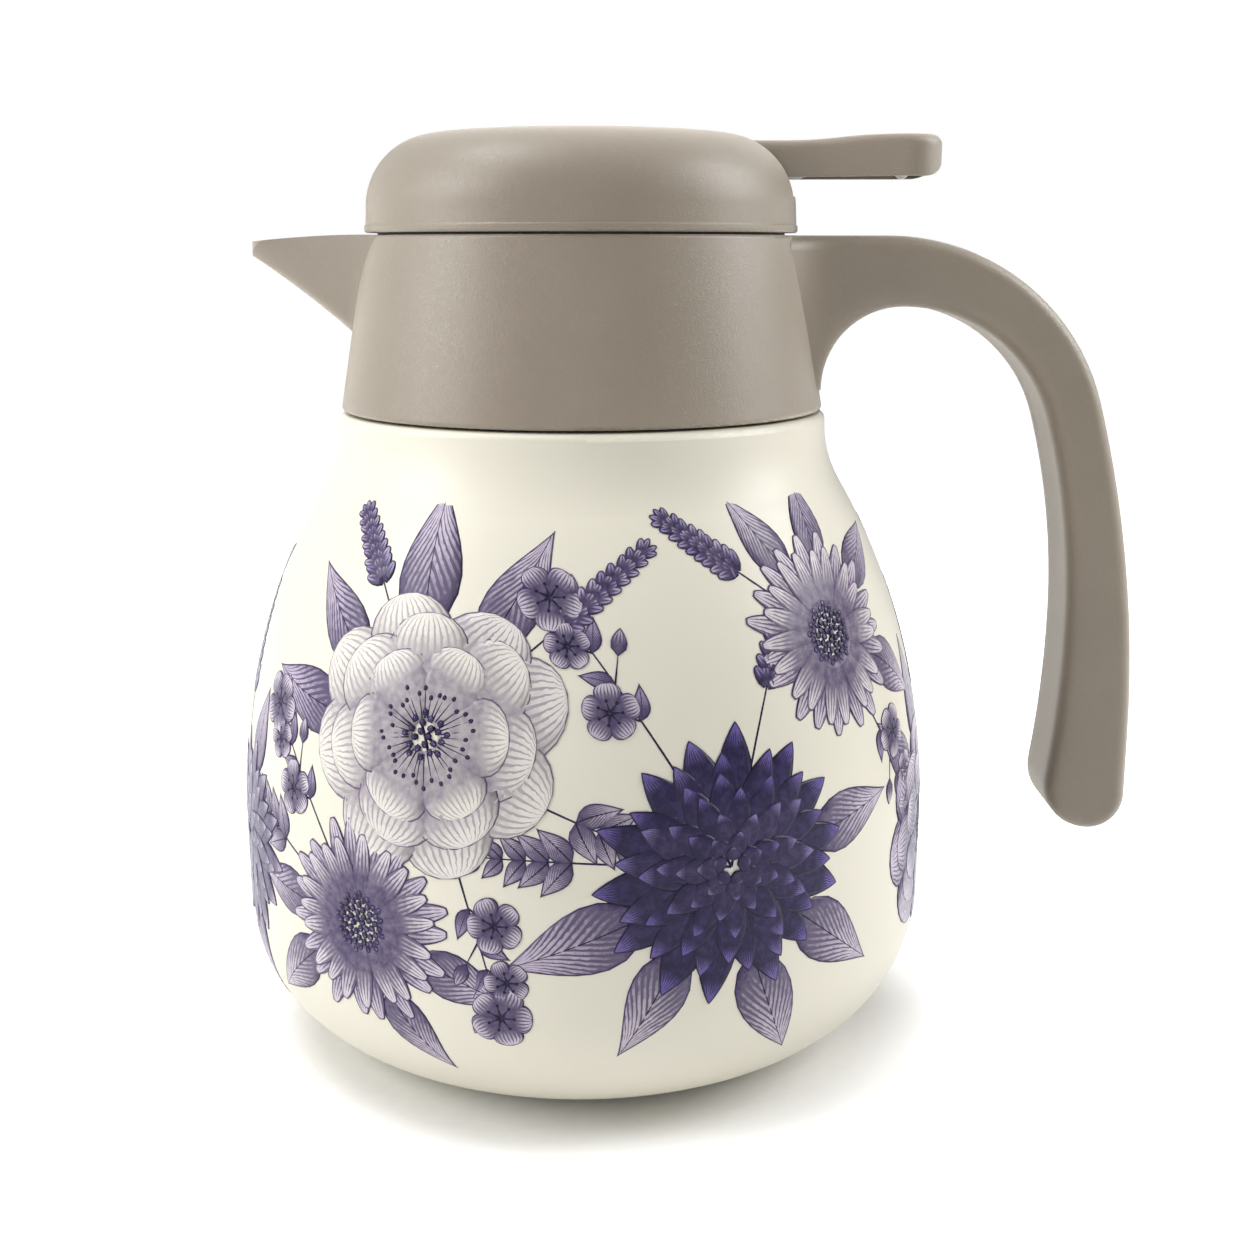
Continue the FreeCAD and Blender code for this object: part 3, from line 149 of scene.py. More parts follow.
def bump(tree, height, depth, normal=None):
    """Surface relief whose height from 0 to 1 stands for a depth in millimetres."""
    node = add_node(tree, "ShaderNodeBump", {"Height": height, "Distance": depth * MM, "Strength": 1.0})
    if normal is not None:
        tree.links.new(normal, node.inputs["Normal"])
    return node.outputs[0]


# Most of a noise lies between these values.
NOISE_SPAN = (0.3, 0.7)


def mottled(tree, value, dark, light):
    """Colour that follows a noise."""
    return ramp(tree, value, list(zip(NOISE_SPAN, (dark, light))))


def new_material(name, **values):
    """Principled material with its plain values set on the shader."""
    material = bpy.data.materials.new(name)
    material.use_nodes = True
    tree = material.node_tree
    shader = tree.nodes["Principled BSDF"]
    for socket, value in values.items():
        shader.inputs[socket.replace("_", " ")].default_value = value
    return material, tree, shader


def dress(tree, shader, colour, rough, normal):
    """Link what changes over the surface."""
    for socket, value in (("Base Color", colour), ("Roughness", rough), ("Normal", normal)):
        tree.links.new(value, shader.inputs[socket])


# Materials.

# Where edges look softer: on the grip side of the handle's bend, which lies within a reach of the bend's
# centre (x, z), and on the spout. Pairs are where a change starts and ends.

ARCH_CENTRE = (59.7, 117.2)
GRIP_HEIGHTS = (90.0, 125.0)
GRIP_REACHES = (45.0, 38.5)
GRIP_BLEND = (0.0, 2.0)
GRIP_START = (44.0, 52.0)
SPOUT_START = (-36.0, -40.0)
SPOUT_TOP = (158.0, 155.0)
GRIP_SOFTNESS = 5.0
SPOUT_SOFTNESS = 3.0
EDGE_SOFTNESS = 0.35
BEVEL_SAMPLES = 8


def edge_softness(tree, place):
    """Radius in metres to which edges look rounded: small, but large on the grip and below the spout."""
    across = add_node(tree, "ShaderNodeSeparateXYZ", {0: place}).outputs
    x, z = across["X"], across["Z"]
    over_arch = calc(tree, "MAXIMUM", calc(tree, "SUBTRACT", z, ARCH_CENTRE[1]), 0.0)
    beside_arch = calc(tree, "SUBTRACT", x, ARCH_CENTRE[0])
    away = add_node(tree, "ShaderNodeCombineXYZ", {"X": beside_arch, "Y": over_arch}).outputs[0]
    away = add_node(tree, "ShaderNodeVectorMath", {0: away}, operation="LENGTH").outputs["Value"]
    reach = remap(tree, z, *GRIP_HEIGHTS, *GRIP_REACHES)
    grip = remap(tree, calc(tree, "SUBTRACT", reach, away), *GRIP_BLEND)
    grip = calc(tree, "MULTIPLY", grip, remap(tree, x, *GRIP_START))
    spout = calc(tree, "MULTIPLY", remap(tree, x, *SPOUT_START), remap(tree, z, *SPOUT_TOP))
    soft = calc(tree, "MULTIPLY", grip, GRIP_SOFTNESS)
    soft = calc(tree, "ADD", soft, calc(tree, "MULTIPLY", spout, SPOUT_SOFTNESS))
    return calc(tree, "MULTIPLY", calc(tree, "ADD", soft, EDGE_SOFTNESS), MM)


GRAIN_CONTRAST = 6.0
# GRAIN_SHADE: how strongly painted shade darkens the grain's grooves.
GRAIN_SHADE = 0.18
GRAIN_DEPTH = 0.016
GRAIN_ROUGHNESS = (0.46, 0.36)


def grained_plastic():
    """Satin taupe moulding with a fine leather grain, and painted shade darkening the grain's grooves."""
    material, tree, shader = new_material("grained_plastic", IOR=1.49, Specular_IOR_Level=0.8,
                                          Sheen_Weight=1.0, Sheen_Roughness=0.5,
                                          Sheen_Tint=srgb(255, 247, 233))
    place = millimetres(tree)
    worms = noise(tree, place, scale=1.5, rough=0.55, distortion=1.6)
    from_middle = calc(tree, "ABSOLUTE", calc(tree, "SUBTRACT", worms, 0.5))
    grain = calc(tree, "MULTIPLY", from_middle, GRAIN_CONTRAST, clamp=True)
    # Painted shade: the colour is blended towards a darker taupe in the grain's grooves, where shade would
    # fall.
    painted_groove_shade = calc(tree, "MULTIPLY", calc(tree, "SUBTRACT", 1.0, grain), GRAIN_SHADE)
    mottle = noise(tree, place, scale=0.05, detail=3.0)
    colour = mottled(tree, mottle, srgb(130, 117, 100), srgb(138, 125, 108))
    colour = blend_colour(tree, painted_groove_shade, colour, srgb(104, 93, 78))
    rough = remap(tree, grain, 0, 1, *GRAIN_ROUGHNESS, smooth=False)
    soft = add_node(tree, "ShaderNodeBevel", {"Radius": edge_softness(tree, place)}, samples=BEVEL_SAMPLES)
    dress(tree, shader, colour, rough, bump(tree, grain, GRAIN_DEPTH, soft.outputs[0]))
    return material


PAINT_ROUGHNESS = (0.38, 0.44)
PAINT_PEEL_DEPTH = 0.004


def ivory_paint():
    """Satin stove paint with a slight orange peel."""
    material, tree, shader = new_material("ivory_paint", IOR=1.5)
    place = millimetres(tree)
    peel = noise(tree, place, scale=0.55)
    cloud = noise(tree, place, scale=0.02)
    colour = mottled(tree, cloud, srgb(238, 233, 216), srgb(241, 236, 220))
    rough = remap(tree, peel, *NOISE_SPAN, *PAINT_ROUGHNESS)
    dress(tree, shader, colour, rough, bump(tree, peel, PAINT_PEEL_DEPTH))
    return material


STEEL_ROUGHNESS = (0.24, 0.36)
SCRATCH_DEPTH = 0.004


def brushed_steel(name, light, dark, along):
    """Steel with fine scratches; along is how little the pattern changes on each axis."""
    material, tree, shader = new_material(name, Metallic=1.0)
    lines = noise(tree, millimetres(tree, along), scale=1.2, detail=3.0, rough=0.6)
    rough = remap(tree, lines, *NOISE_SPAN, *STEEL_ROUGHNESS)
    dress(tree, shader, mottled(tree, lines, dark, light), rough, bump(tree, lines, SCRATCH_DEPTH))
    return material


ROUGHNESS_SPREAD = 0.05


def plain_moulding(name, light, dark, rough, grain_depth):
    """Moulded plastic or rubber with a faint spark-eroded texture."""
    material, tree, shader = new_material(name, IOR=1.48)
    place = millimetres(tree)
    grain = noise(tree, place, scale=2.2, detail=3.0, rough=0.6)
    cloud = noise(tree, place, scale=0.08)
    rough = remap(tree, grain, *NOISE_SPAN, rough - ROUGHNESS_SPREAD, rough + ROUGHNESS_SPREAD)
    dress(tree, shader, mottled(tree, cloud, dark, light), rough, bump(tree, grain, grain_depth))
    return material


def attribute(tree, name):
    """Number that the print's mesh carries at its points."""
    return add_node(tree, "ShaderNodeAttribute", attribute_name=name).outputs["Fac"]


# Shading of the print. Its tone goes from 0 for indigo to 1 for off-white. Pairs are a range or its results.

SHADE_REACH = 0.62
SHADE_FALL = 1.25
BASE_SHADE = 0.95
SIDE_SHADE = 0.22
SIDE_FALL = 2.5
WOBBLE_SHADE = 0.6
PALE_TONES = (0.6, 1.0)
PALE_SHADE = (1.0, 0.72)
LINE_WOBBLE = 0.35
LINE_EDGE = (0.86, 1.14)
LINE_STRENGTH = (0.85, 0.55)
WASH_SHADES = (0.05, 1.1)
WASH_STRENGTH = (0.0, 0.94)
OUTLINE_RIM = (0.16, 0.42)
OUTLINE_STRENGTH = (0.95, 0.0)
INK_ROUGHNESS = (0.26, 0.38)
INK_DEPTH = 0.006


def flower_ink():
    """Glossy transfer print in engraved lines, from deep indigo to off-white."""
    material, tree, shader = new_material("flower_ink", Coat_Weight=0.12, Coat_Roughness=0.12, IOR=1.5,
                                          Specular_IOR_Level=0.1)
    tone = attribute(tree, "tone")
    along = attribute(tree, "along")
    across = attribute(tree, "across")
    stroke = attribute(tree, "stroke")
    rim = attribute(tree, "rim")
    wobble = noise(tree, millimetres(tree), scale=0.8)
    light = ramp(tree, tone, [(0.0, srgb(124, 108, 184)), (0.3, srgb(196, 182, 208)),
                              (0.65, srgb(228, 218, 226)), (1.0, srgb(244, 239, 230))])
    dark = ramp(tree, tone, [(0.0, srgb(18, 13, 42)), (0.3, srgb(46, 34, 80)),
                             (0.65, srgb(64, 50, 94)), (1.0, srgb(104, 88, 120))])
    hidden = calc(tree, "DIVIDE", calc(tree, "SUBTRACT", 1.0, along), SHADE_REACH, clamp=True)
    base = calc(tree, "MULTIPLY", calc(tree, "POWER", hidden, SHADE_FALL), BASE_SHADE)
    side = calc(tree, "POWER", calc(tree, "ABSOLUTE", across), SIDE_FALL)
    shade = calc(tree, "ADD", base, calc(tree, "MULTIPLY", side, SIDE_SHADE))
    uneven = calc(tree, "MULTIPLY", calc(tree, "SUBTRACT", wobble, 0.5), WOBBLE_SHADE)
    shade = calc(tree, "ADD", shade, uneven)
    shade = calc(tree, "MULTIPLY", shade, remap(tree, tone, *PALE_TONES, *PALE_SHADE))
    wave = calc(tree, "ADD", stroke, calc(tree, "MULTIPLY", wobble, LINE_WOBBLE))
    hatch = calc(tree, "COSINE", calc(tree, "MULTIPLY", wave, FULL_TURN))
    hatch = calc(tree, "MULTIPLY", calc(tree, "ADD", hatch, 1.0), 0.5)
    ink = remap(tree, calc(tree, "ADD", hatch, shade), *LINE_EDGE)
    wash = remap(tree, shade, *WASH_SHADES, *WASH_STRENGTH)
    lines = calc(tree, "MULTIPLY", ink, remap(tree, tone, *PALE_TONES, *LINE_STRENGTH))
    colour = blend_colour(tree, calc(tree, "MAXIMUM", lines, wash), light, dark)
    colour = blend_colour(tree, remap(tree, rim, *OUTLINE_RIM, *OUTLINE_STRENGTH), colour, dark)
    rough = remap(tree, hatch, 0, 1, *INK_ROUGHNESS, smooth=False)
    dress(tree, shader, colour, rough, bump(tree, calc(tree, "SUBTRACT", 1.0, ink), INK_DEPTH))
    return material


def seen_directly(tree):
    """1 for rays that show the background: from the camera, in a reflection or through glass."""
    path = add_node(tree, "ShaderNodeLightPath").outputs
    seen = calc(tree, "MAXIMUM", path["Is Camera Ray"], path["Is Glossy Ray"])
    return calc(tree, "MAXIMUM", seen, path["Is Transmission Ray"])


# Distances from the jug's axis between which the floor turns from shadow to plain white.
SHADOW_NEAR = 56
SHADOW_FAR = 92


def floor_finish():
    """White sweep that keeps the jug's shadow and turns plain white away from it."""
    material, tree, shader = new_material("floor_finish", Roughness=0.9, Specular_IOR_Level=0.1)
    place = millimetres(tree)
    speckle = noise(tree, place, scale=0.4)
    colour = mottled(tree, speckle, srgb(240, 240, 239), srgb(243, 243, 242))
    tree.links.new(colour, shader.inputs["Base Color"])
    away = add_node(tree, "ShaderNodeVectorMath", {0: place}, operation="LENGTH").outputs["Value"]
    glow = remap(tree, away, SHADOW_NEAR, SHADOW_FAR)
    shader.inputs["Emission Color"].default_value = WHITE
    tree.links.new(calc(tree, "MULTIPLY", seen_directly(tree), glow), shader.inputs["Emission Strength"])
    return material


# The body's outer wall: a round corner, a straight wall and a convex shoulder.

BELLY = cad_high.y / MM
CORNER = 29.0
FOOT = 0.8
CORNER_TOP = FOOT + CORNER
WALL = 19.2
WALL_TOP = CORNER_TOP + WALL
SHOULDER = 127.0


def wall_point(run):
    """Radius, height and slope of the wall at a distance along it from the top of the corner."""
    if run < 0:
        lean = run / CORNER
        return BELLY - CORNER + CORNER * math.cos(lean), CORNER_TOP + CORNER * math.sin(lean), lean
    if run < WALL:
        return BELLY, CORNER_TOP + run, 0.0
    lean = (run - WALL) / SHOULDER
    return BELLY - SHOULDER + SHOULDER * math.cos(lean), WALL_TOP + SHOULDER * math.sin(lean), lean


def wall_run(height):
    """Distance along the wall of a height above the table."""
    if height < CORNER_TOP:
        return CORNER * math.asin((height - CORNER_TOP) / CORNER)
    if height < WALL_TOP:
        return height - CORNER_TOP
    return WALL + SHOULDER * math.asin((height - WALL_TOP) / SHOULDER)


def on_wall(angle, run, right, up, lift):
    """Point in metres of a flat drawing on the wall: right and up from a centre, lift above the paint."""
    radius, height, lean = wall_point(run + up)
    turn = angle + right / radius
    out = radius + lift * math.cos(lean)
    return Vector((out * math.cos(turn), out * math.sin(turn), height + lift * math.sin(lean))) * MM


# Print: every petal, leaf and stem is a thin closed blade laid on the wall.

SINK = 0.06
COLUMNS = 6
LEAST_HALF_WIDTH = 0.04
TIP_CROWDING = 1.7
CROWN_END = 0.98
TIP_RIM = 0.05


def towards_tip(share):
    """Rows of a blade lie closer together towards its tip, so that the tip is round."""
    return 1 - (1 - share) ** TIP_CROWDING


class Print:
    """Blades of one kind of motif, gathered into one mesh."""

    def __init__(self):
        self.points = []
        self.faces = []
        self.values = {"tone": [], "along": [], "across": [], "stroke": [], "rim": []}

    def add(self, place, start, heading, length, width, shape, tone, lift, relief,
            lines=5.0, slant=0.0, bend=0.0, rows=9, shade_from=0.0):
        """One blade. place is (angle, run), start a flat point, heading its direction in the drawing.
        shape(along) gives its half width from base to tip as a share of width."""
        ahead = (math.cos(heading), math.sin(heading))
        aside = (-math.sin(heading), math.cos(heading))

        def on_blade(along, across, height):
            """Half width of the blade there, and the point on the wall."""
            half = max(shape(along) * width, LEAST_HALF_WIDTH)
            forward = along * length
            sideways = across * half + bend * along * along * length
            right = start[0] + ahead[0] * forward + aside[0] * sideways
            up = start[1] + ahead[1] * forward + aside[1] * sideways
            return half, on_wall(*place, right, up, height)

        first = len(self.points)
        shares = [towards_tip(row / rows) for row in range(rows + 1)]
        for along in shares:
            for column in range(COLUMNS + 1):
                across = 2 * column / COLUMNS - 1
                crown = (1 - across * across) * math.sqrt(math.sin(math.pi * min(along, CROWN_END)))
                half, point = on_blade(along, across, lift + relief * crown)
                self.points.append(point)
                rim = min((1 - abs(across)) * half, (1 - along) * length + TIP_RIM)
                stroke = across * lines + abs(across) * slant + 2 * along * slant
                self.note(tone, shade_from + (1 - shade_from) * along, across, stroke, rim)
        for along in shares:
            for across in (-1, 1):
                self.points.append(on_blade(along, across, -SINK)[1])
                self.note(tone, along, across, across * lines, 0.0)
        self.join(first, rows)

    def note(self, tone, along, across, stroke, rim):
        for name, value in zip(self.values, (tone, along, across, stroke, rim)):
            self.values[name].append(value)

    def join(self, first, rows):
        """Faces of one blade: crowned top, two sides, two ends and the hidden underside."""
        wide = COLUMNS + 1
        under = first + (rows + 1) * wide

        def top(row, column):
            return first + row * wide + column

        def low(row, side):
            return under + 2 * row + side

        for row in range(rows):
            for column in range(COLUMNS):
                self.faces.append((top(row, column), top(row + 1, column),
                                   top(row + 1, column + 1), top(row, column + 1)))
            self.faces.append((low(row, 0), low(row + 1, 0), top(row + 1, 0), top(row, 0)))
            self.faces.append((top(row, COLUMNS), top(row + 1, COLUMNS), low(row + 1, 1), low(row, 1)))
            self.faces.append((low(row, 0), low(row, 1), low(row + 1, 1), low(row + 1, 0)))
        base = [top(0, column) for column in range(wide)]
        tip = [top(rows, column) for column in range(wide)]
        self.faces.append(tuple(base + [low(0, 1), low(0, 0)]))
        self.faces.append(tuple(tip[::-1] + [low(rows, 0), low(rows, 1)]))

    def build(self, name, ink):
        mesh = bpy.data.meshes.new(name)
        mesh.from_pydata(self.points, [], self.faces)
        for key, values in self.values.items():
            mesh.attributes.new(key, "FLOAT", "POINT").data.foreach_set("value", values)
        mesh.materials.append(ink)
        mesh.update()
        piece = bpy.data.objects.new(name, mesh)
        bpy.context.scene.collection.objects.link(piece)
        for polygon in mesh.polygons:
            polygon.use_smooth = True
        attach(piece, "jug")


# Half widths of blades from base to tip, as a share of their widest.

def pointed(along):
    return math.sin(math.pi * along ** 0.8) ** 0.8


def rounded(along):
    base = 0.28
    widest = 0.64
    if along < widest:
        return base + (1 - base) * math.sin(0.5 * math.pi * along / widest)
    return math.sqrt(max(1 - ((along - widest) / (1 - widest)) ** 2, 0.0))


def narrow(along):
    return math.sin(math.pi * (0.12 + 0.86 * along) ** 0.9) ** 0.5


def lance(along):
    return math.sin(math.pi * along ** 0.7) ** 1.1


def even(along):
    return 1.0 - 0.6 * along


# Motifs.

def seat(flower):
    """Place on the wall of a flower, and its size."""
    angle, height, size = FLOWERS[flower]
    return (math.radians(angle), wall_run(height)), size


def polar(reach, heading, centre=(0, 0)):
    """Flat point at a distance from a centre, in a direction."""
    return centre[0] + reach * math.cos(heading), centre[1] + reach * math.sin(heading)


def sway(chance, most):
    """Random amount to either side."""
    return chance.uniform(-most, most)


# How much one petal differs from the next, and the small steps that keep overlapping petals apart.

PETAL_HEADING = 0.06
PETAL_REACH = (0.95, 1.04)
PETAL_WIDTH = (0.93, 1.05)
PETAL_TONE = 0.05
PETAL_BEND = 0.05
PETAL_STEP = 0.006
PETAL_STEPS = 3


def whorl(art, place, centre, count, inner, outer, width, shape, tone, lift, relief, turn, chance,
          lines=5.0, shade_from=0.0):
    """Ring of petals round a centre."""
    for index in range(count):
        heading = turn + FULL_TURN * index / count + sway(chance, PETAL_HEADING)
        reach = outer * chance.uniform(*PETAL_REACH)
        art.add(place, polar(inner, heading, centre), heading, reach - inner,
                width * chance.uniform(*PETAL_WIDTH), shape, tone + sway(chance, PETAL_TONE),
                lift + PETAL_STEP * (index % PETAL_STEPS), relief,
                lines=lines, bend=sway(chance, PETAL_BEND), shade_from=shade_from)


SEED = 0.62
SEED_TONE = (-0.1, 0.15)


def dots(art, place, count, radius, tone, lift, chance):
    """Seeds packed in a spiral."""
    golden = math.pi * (3 - math.sqrt(5))
    for index in range(count):
        reach = radius * math.sqrt((index + 0.5) / count)
        heading = golden * index
        art.add(place, polar(reach - SEED, heading), heading, 2 * SEED, SEED, narrow,
                tone + chance.uniform(*SEED_TONE), lift, relief=0.05, lines=1.0, rows=3)


# Each ring of petals lies above the one outside it and is a little lighter.

FIRST_LIFT = 0.12
RING_TONE = 0.02

# Rings from the outside in: reach as a share of the flower's radius, and number of petals. A petal starts and
# is widest at a share of its reach.

DAHLIA_RINGS = ((1.0, 14), (0.86, 14), (0.71, 12), (0.56, 11), (0.41, 9), (0.27, 7), (0.15, 5))
DAHLIA_START = 0.30
DAHLIA_WIDEST = 0.62
DAHLIA_OVERLAP = 1.15
DAHLIA_TURN = 0.23
DAHLIA_LIFT = 0.04


def dahlia(art, flower, turn, tone, chance):
    """Rings of pointed petals that get shorter and steeper towards the middle."""
    place, size = seat(flower)
    for index, (reach, count) in enumerate(DAHLIA_RINGS):
        outer = size / 2 * reach
        inner = outer * DAHLIA_START
        width = DAHLIA_OVERLAP * math.pi * outer * DAHLIA_WIDEST / count
        whorl(art, place, (0, 0), count, inner, outer, width, pointed, tone=tone + RING_TONE * index,
              lift=FIRST_LIFT + DAHLIA_LIFT * index, relief=0.06, turn=turn + DAHLIA_TURN * index,
              chance=chance, lines=4.0, shade_from=-1.4)


# Rings as above, with the petals' half width. Widths and reaches are shares of the flower's radius.

ANEMONE_RINGS = ((1.0, 8, 0.36), (0.82, 7, 0.32), (0.62, 6, 0.26))
ANEMONE_INNER = 0.10
ANEMONE_TURN = 0.4
ANEMONE_LIFT = 0.05
EYE = 0.17
STAMENS = 34
STAMEN_INNER = 0.12
STAMEN_REACH = (0.24, 0.34)
STAMEN_HEADING = 0.05


def anemone(art, flower, turn, tone, chance):
    """Broad round petals in three rings, a dark eye and a ring of stamens."""
    place, size = seat(flower)
    radius = size / 2
    for index, (reach, count, width) in enumerate(ANEMONE_RINGS):
        whorl(art, place, (0, 0), count, ANEMONE_INNER * radius, reach * radius, width * radius, rounded,
              tone=tone + RING_TONE * index, lift=FIRST_LIFT + ANEMONE_LIFT * index, relief=0.07,
              turn=turn + ANEMONE_TURN * index, chance=chance, lines=6.0, shade_from=-0.5)
    for index in range(STAMENS):
        heading = FULL_TURN * index / STAMENS + sway(chance, STAMEN_HEADING)
        inner = STAMEN_INNER * radius
        reach = radius * chance.uniform(*STAMEN_REACH)
        art.add(place, polar(inner, heading), heading, reach - inner, width=0.14, shape=even,
                tone=0.1, lift=0.27, relief=0.02, lines=0.0, rows=3)
        art.add(place, polar(reach, heading), heading, length=0.9, width=0.42, shape=narrow,
                tone=0.05, lift=0.29, relief=0.04, lines=0.5, rows=3)
    dots(art, place, count=22, radius=EYE * radius, tone=0.05, lift=0.30, chance=chance)


ASTER_RAYS = 19
ASTER_INNER = 0.22
ASTER_BUTTON = 0.30


def aster(art, flower, turn, tone, chance):
    """Two rings of narrow rays round a domed button."""
    place, size = seat(flower)
    radius = size / 2
    half_step = math.pi / ASTER_RAYS
    rings = ((1.0, 0.125, tone - 0.05, 0.11, turn), (0.86, 0.115, tone + 0.08, 0.16, turn + half_step))
    for reach, width, ring_tone, lift, ring_turn in rings:
        whorl(art, place, (0, 0), ASTER_RAYS, ASTER_INNER * radius, reach * radius, width * radius, narrow,
              tone=ring_tone, lift=lift, relief=0.06, turn=ring_turn, chance=chance, lines=2.5)
    dots(art, place, count=55, radius=ASTER_BUTTON * radius, tone=0.12, lift=0.22, chance=chance)


BLOSSOM_PETALS = 5
BLOSSOM_INNER = 0.08
BLOSSOM_WIDTH = 0.46
BLOSSOM_STAMENS = 7
BLOSSOM_STAMEN = 0.36


def blossom(art, place, centre, size, turn, tone, chance):
    """Small five-petalled flower."""
    radius = size / 2
    whorl(art, place, centre, BLOSSOM_PETALS, BLOSSOM_INNER * radius, radius, BLOSSOM_WIDTH * radius, rounded,
          tone=tone, lift=0.11, relief=0.07, turn=turn, chance=chance, lines=4.0)
    for index in range(BLOSSOM_STAMENS):
        heading = FULL_TURN * index / BLOSSOM_STAMENS
        reach = BLOSSOM_STAMEN * radius
        art.add(place, centre, heading, reach, width=0.22, shape=even,
                tone=0.05, lift=0.18, relief=0.02, lines=0.0, rows=3)
        art.add(place, polar(reach, heading, centre), heading, length=0.6, width=0.3, shape=narrow,
                tone=0.0, lift=0.19, relief=0.03, lines=0.0, rows=3)


LEAF_BEND = 0.14
LEAF_ROWS = 12
RIB_LENGTH = 0.95
LIGHT_LEAF = 0.3
DARK_RIB = 0.0
LIGHT_RIB = 0.6


def leaf(art, place, start, heading, length, width, tone, chance):
    """Leaf with a midrib that is dark on a light leaf and light on a dark one."""
    bend = sway(chance, LEAF_BEND)
    art.add(place, start, heading, length, width, lance, tone, lift=0.06, relief=0.03,
            lines=0.5, slant=5.0, bend=bend, rows=LEAF_ROWS, shade_from=0.3)
    rib_tone = DARK_RIB if tone > LIGHT_LEAF else LIGHT_RIB
    art.add(place, start, heading, length * RIB_LENGTH, width=0.16, shape=even, tone=rib_tone,
            lift=0.092, relief=0.005, lines=0.0, bend=bend, rows=LEAF_ROWS, shade_from=0.9)


# Start and length are shares of the flower's size.

LEAVES_START = 0.33
LEAVES_LENGTH = (0.46, 0.58)
LEAVES_TONE = 0.08
LEAF_SLENDERNESS = 0.23


def leaves(art, flower, headings, tone, chance):
    """Leaves that come out from under a flower."""
    place, size = seat(flower)
    for heading in headings:
        way = math.radians(heading)
        length = size * chance.uniform(*LEAVES_LENGTH)
        leaf(art, place, polar(LEAVES_START * size, way), way, length, length * LEAF_SLENDERNESS,
             tone + sway(chance, LEAVES_TONE), chance)


STEM_WIDTH = 0.26
STEM_ROWS = 14


class Stem:
    """Curved stem in a flat drawing, with its points by their share of its length."""

    def __init__(self, art, place, length, heading, curl):
        self.length = length
        self.way = math.radians(heading)
        self.curl = curl
        art.add(place, (0, 0), self.way, length, STEM_WIDTH, even, tone=0.1, lift=0.05, relief=0.02,
                lines=0.0, bend=curl, rows=STEM_ROWS, shade_from=0.5)

    def point(self, along):
        forward = along * self.length
        aside = self.curl * along * along * self.length
        return (math.cos(self.way) * forward - math.sin(self.way) * aside,
                math.sin(self.way) * forward + math.cos(self.way) * aside)

    def heading(self, along):
        return self.way + math.atan(2 * self.curl * along)


SPRAY_CURL = 0.16
SPRAY_PAIRS = 5
SPRAY_END = 0.97
SPRAY_LEAF = 8.5
SPRAY_TAPER = 4.0
SPRAY_SLENDERNESS = 0.27
SPRAY_ANGLE = 0.8
SPRAY_TIP = (5.0, 1.3)


def spray(art, flower, length, heading, bare, tone, chance):
    """Stem with pairs of leaves that get smaller towards its end; bare is the share without leaves."""
    place, _ = seat(flower)
    stem = Stem(art, place, length, heading, sway(chance, SPRAY_CURL))
    for index in range(SPRAY_PAIRS):
        share = index / (SPRAY_PAIRS - 1)
        along = bare + (SPRAY_END - bare) * share
        size = SPRAY_LEAF - SPRAY_TAPER * share
        for side in (-1, 1):
            way = stem.heading(along) + side * SPRAY_ANGLE
            leaf(art, place, stem.point(along), way, size, size * SPRAY_SLENDERNESS, tone, chance)
    leaf(art, place, stem.point(SPRAY_END), stem.heading(1.0), *SPRAY_TIP, tone, chance)


LAVENDER_CURL = 0.14
LAVENDER_TIERS = 9
LAVENDER_SPREAD = (-0.95, -0.35, 0.35, 0.95)
BUD = 4.2
BUD_TAPER = 1.4
BUD_SLENDERNESS = 0.30
BUD_HEADING = 0.1
BUD_TONE = 0.12


def lavender(art, flower, length, heading, bare, tone, chance):
    """Flower spike: whorls of small buds along the upper part of a thin stem."""
    place, _ = seat(flower)
    stem = Stem(art, place, length, heading, sway(chance, LAVENDER_CURL))
    for index in range(LAVENDER_TIERS):
        along = bare + (1 - bare) * index / (LAVENDER_TIERS - 1)
        size = BUD - BUD_TAPER * index / LAVENDER_TIERS
        for side in LAVENDER_SPREAD:
            way = stem.heading(along) + side + sway(chance, BUD_HEADING)
            art.add(place, stem.point(along), way, size, size * BUD_SLENDERNESS, narrow,
                    tone + sway(chance, BUD_TONE), lift=0.08 + 0.012 * abs(side), relief=0.06,
                    lines=1.5, rows=5)


# Stalks of a sprig: place as a share of the part with leaves, and side of the stem.

SPRIG_STALKS = ((0.0, 1), (0.3, -1), (0.55, 1), (0.8, -1))
SPRIG_CURL = 0.18
STALK = 5.5
STALK_TAPER = 0.6
STALK_ANGLE = 0.75
SPRIG_BLOSSOM = 10.5
SPRIG_END_BLOSSOM = 12.0
SPRIG_LEAF_ANGLE = 0.7


def sprig(art, flower, length, heading, bare, tone, chance):
    """Stem with small leaves, blossoms and buds on short stalks, and a blossom at its end."""
    place, _ = seat(flower)
    stem = Stem(art, place, length, heading, sway(chance, SPRIG_CURL))
    for index, (share, side) in enumerate(SPRIG_STALKS):
        along = bare + (1 - bare) * share
        start = stem.point(along)
        way = stem.heading(along) + side * STALK_ANGLE
        stalk = STALK - index * STALK_TAPER
        art.add(place, start, way, stalk, width=0.2, shape=even, tone=0.1, lift=0.05, relief=0.02,
                lines=0.0, rows=4, shade_from=0.5)
        tip = polar(stalk, way, start)
        if index % 2 == 0:
            blossom(art, place, tip, SPRIG_BLOSSOM - index, way, tone, chance)
        else:
            art.add(place, tip, way, length=5.0, width=1.5, shape=pointed, tone=tone - 0.1,
                    lift=0.09, relief=0.06, lines=2.0, rows=6)
        way = stem.heading(along) - side * SPRIG_LEAF_ANGLE
        leaf(art, place, start, way, length=6.5, width=1.6, tone=0.25, chance=chance)
    blossom(art, place, stem.point(1.0), SPRIG_END_BLOSSOM, stem.heading(1.0), tone, chance)


# Flowers round the whole body: angle about the jug's axis with the front at -90, height and size.

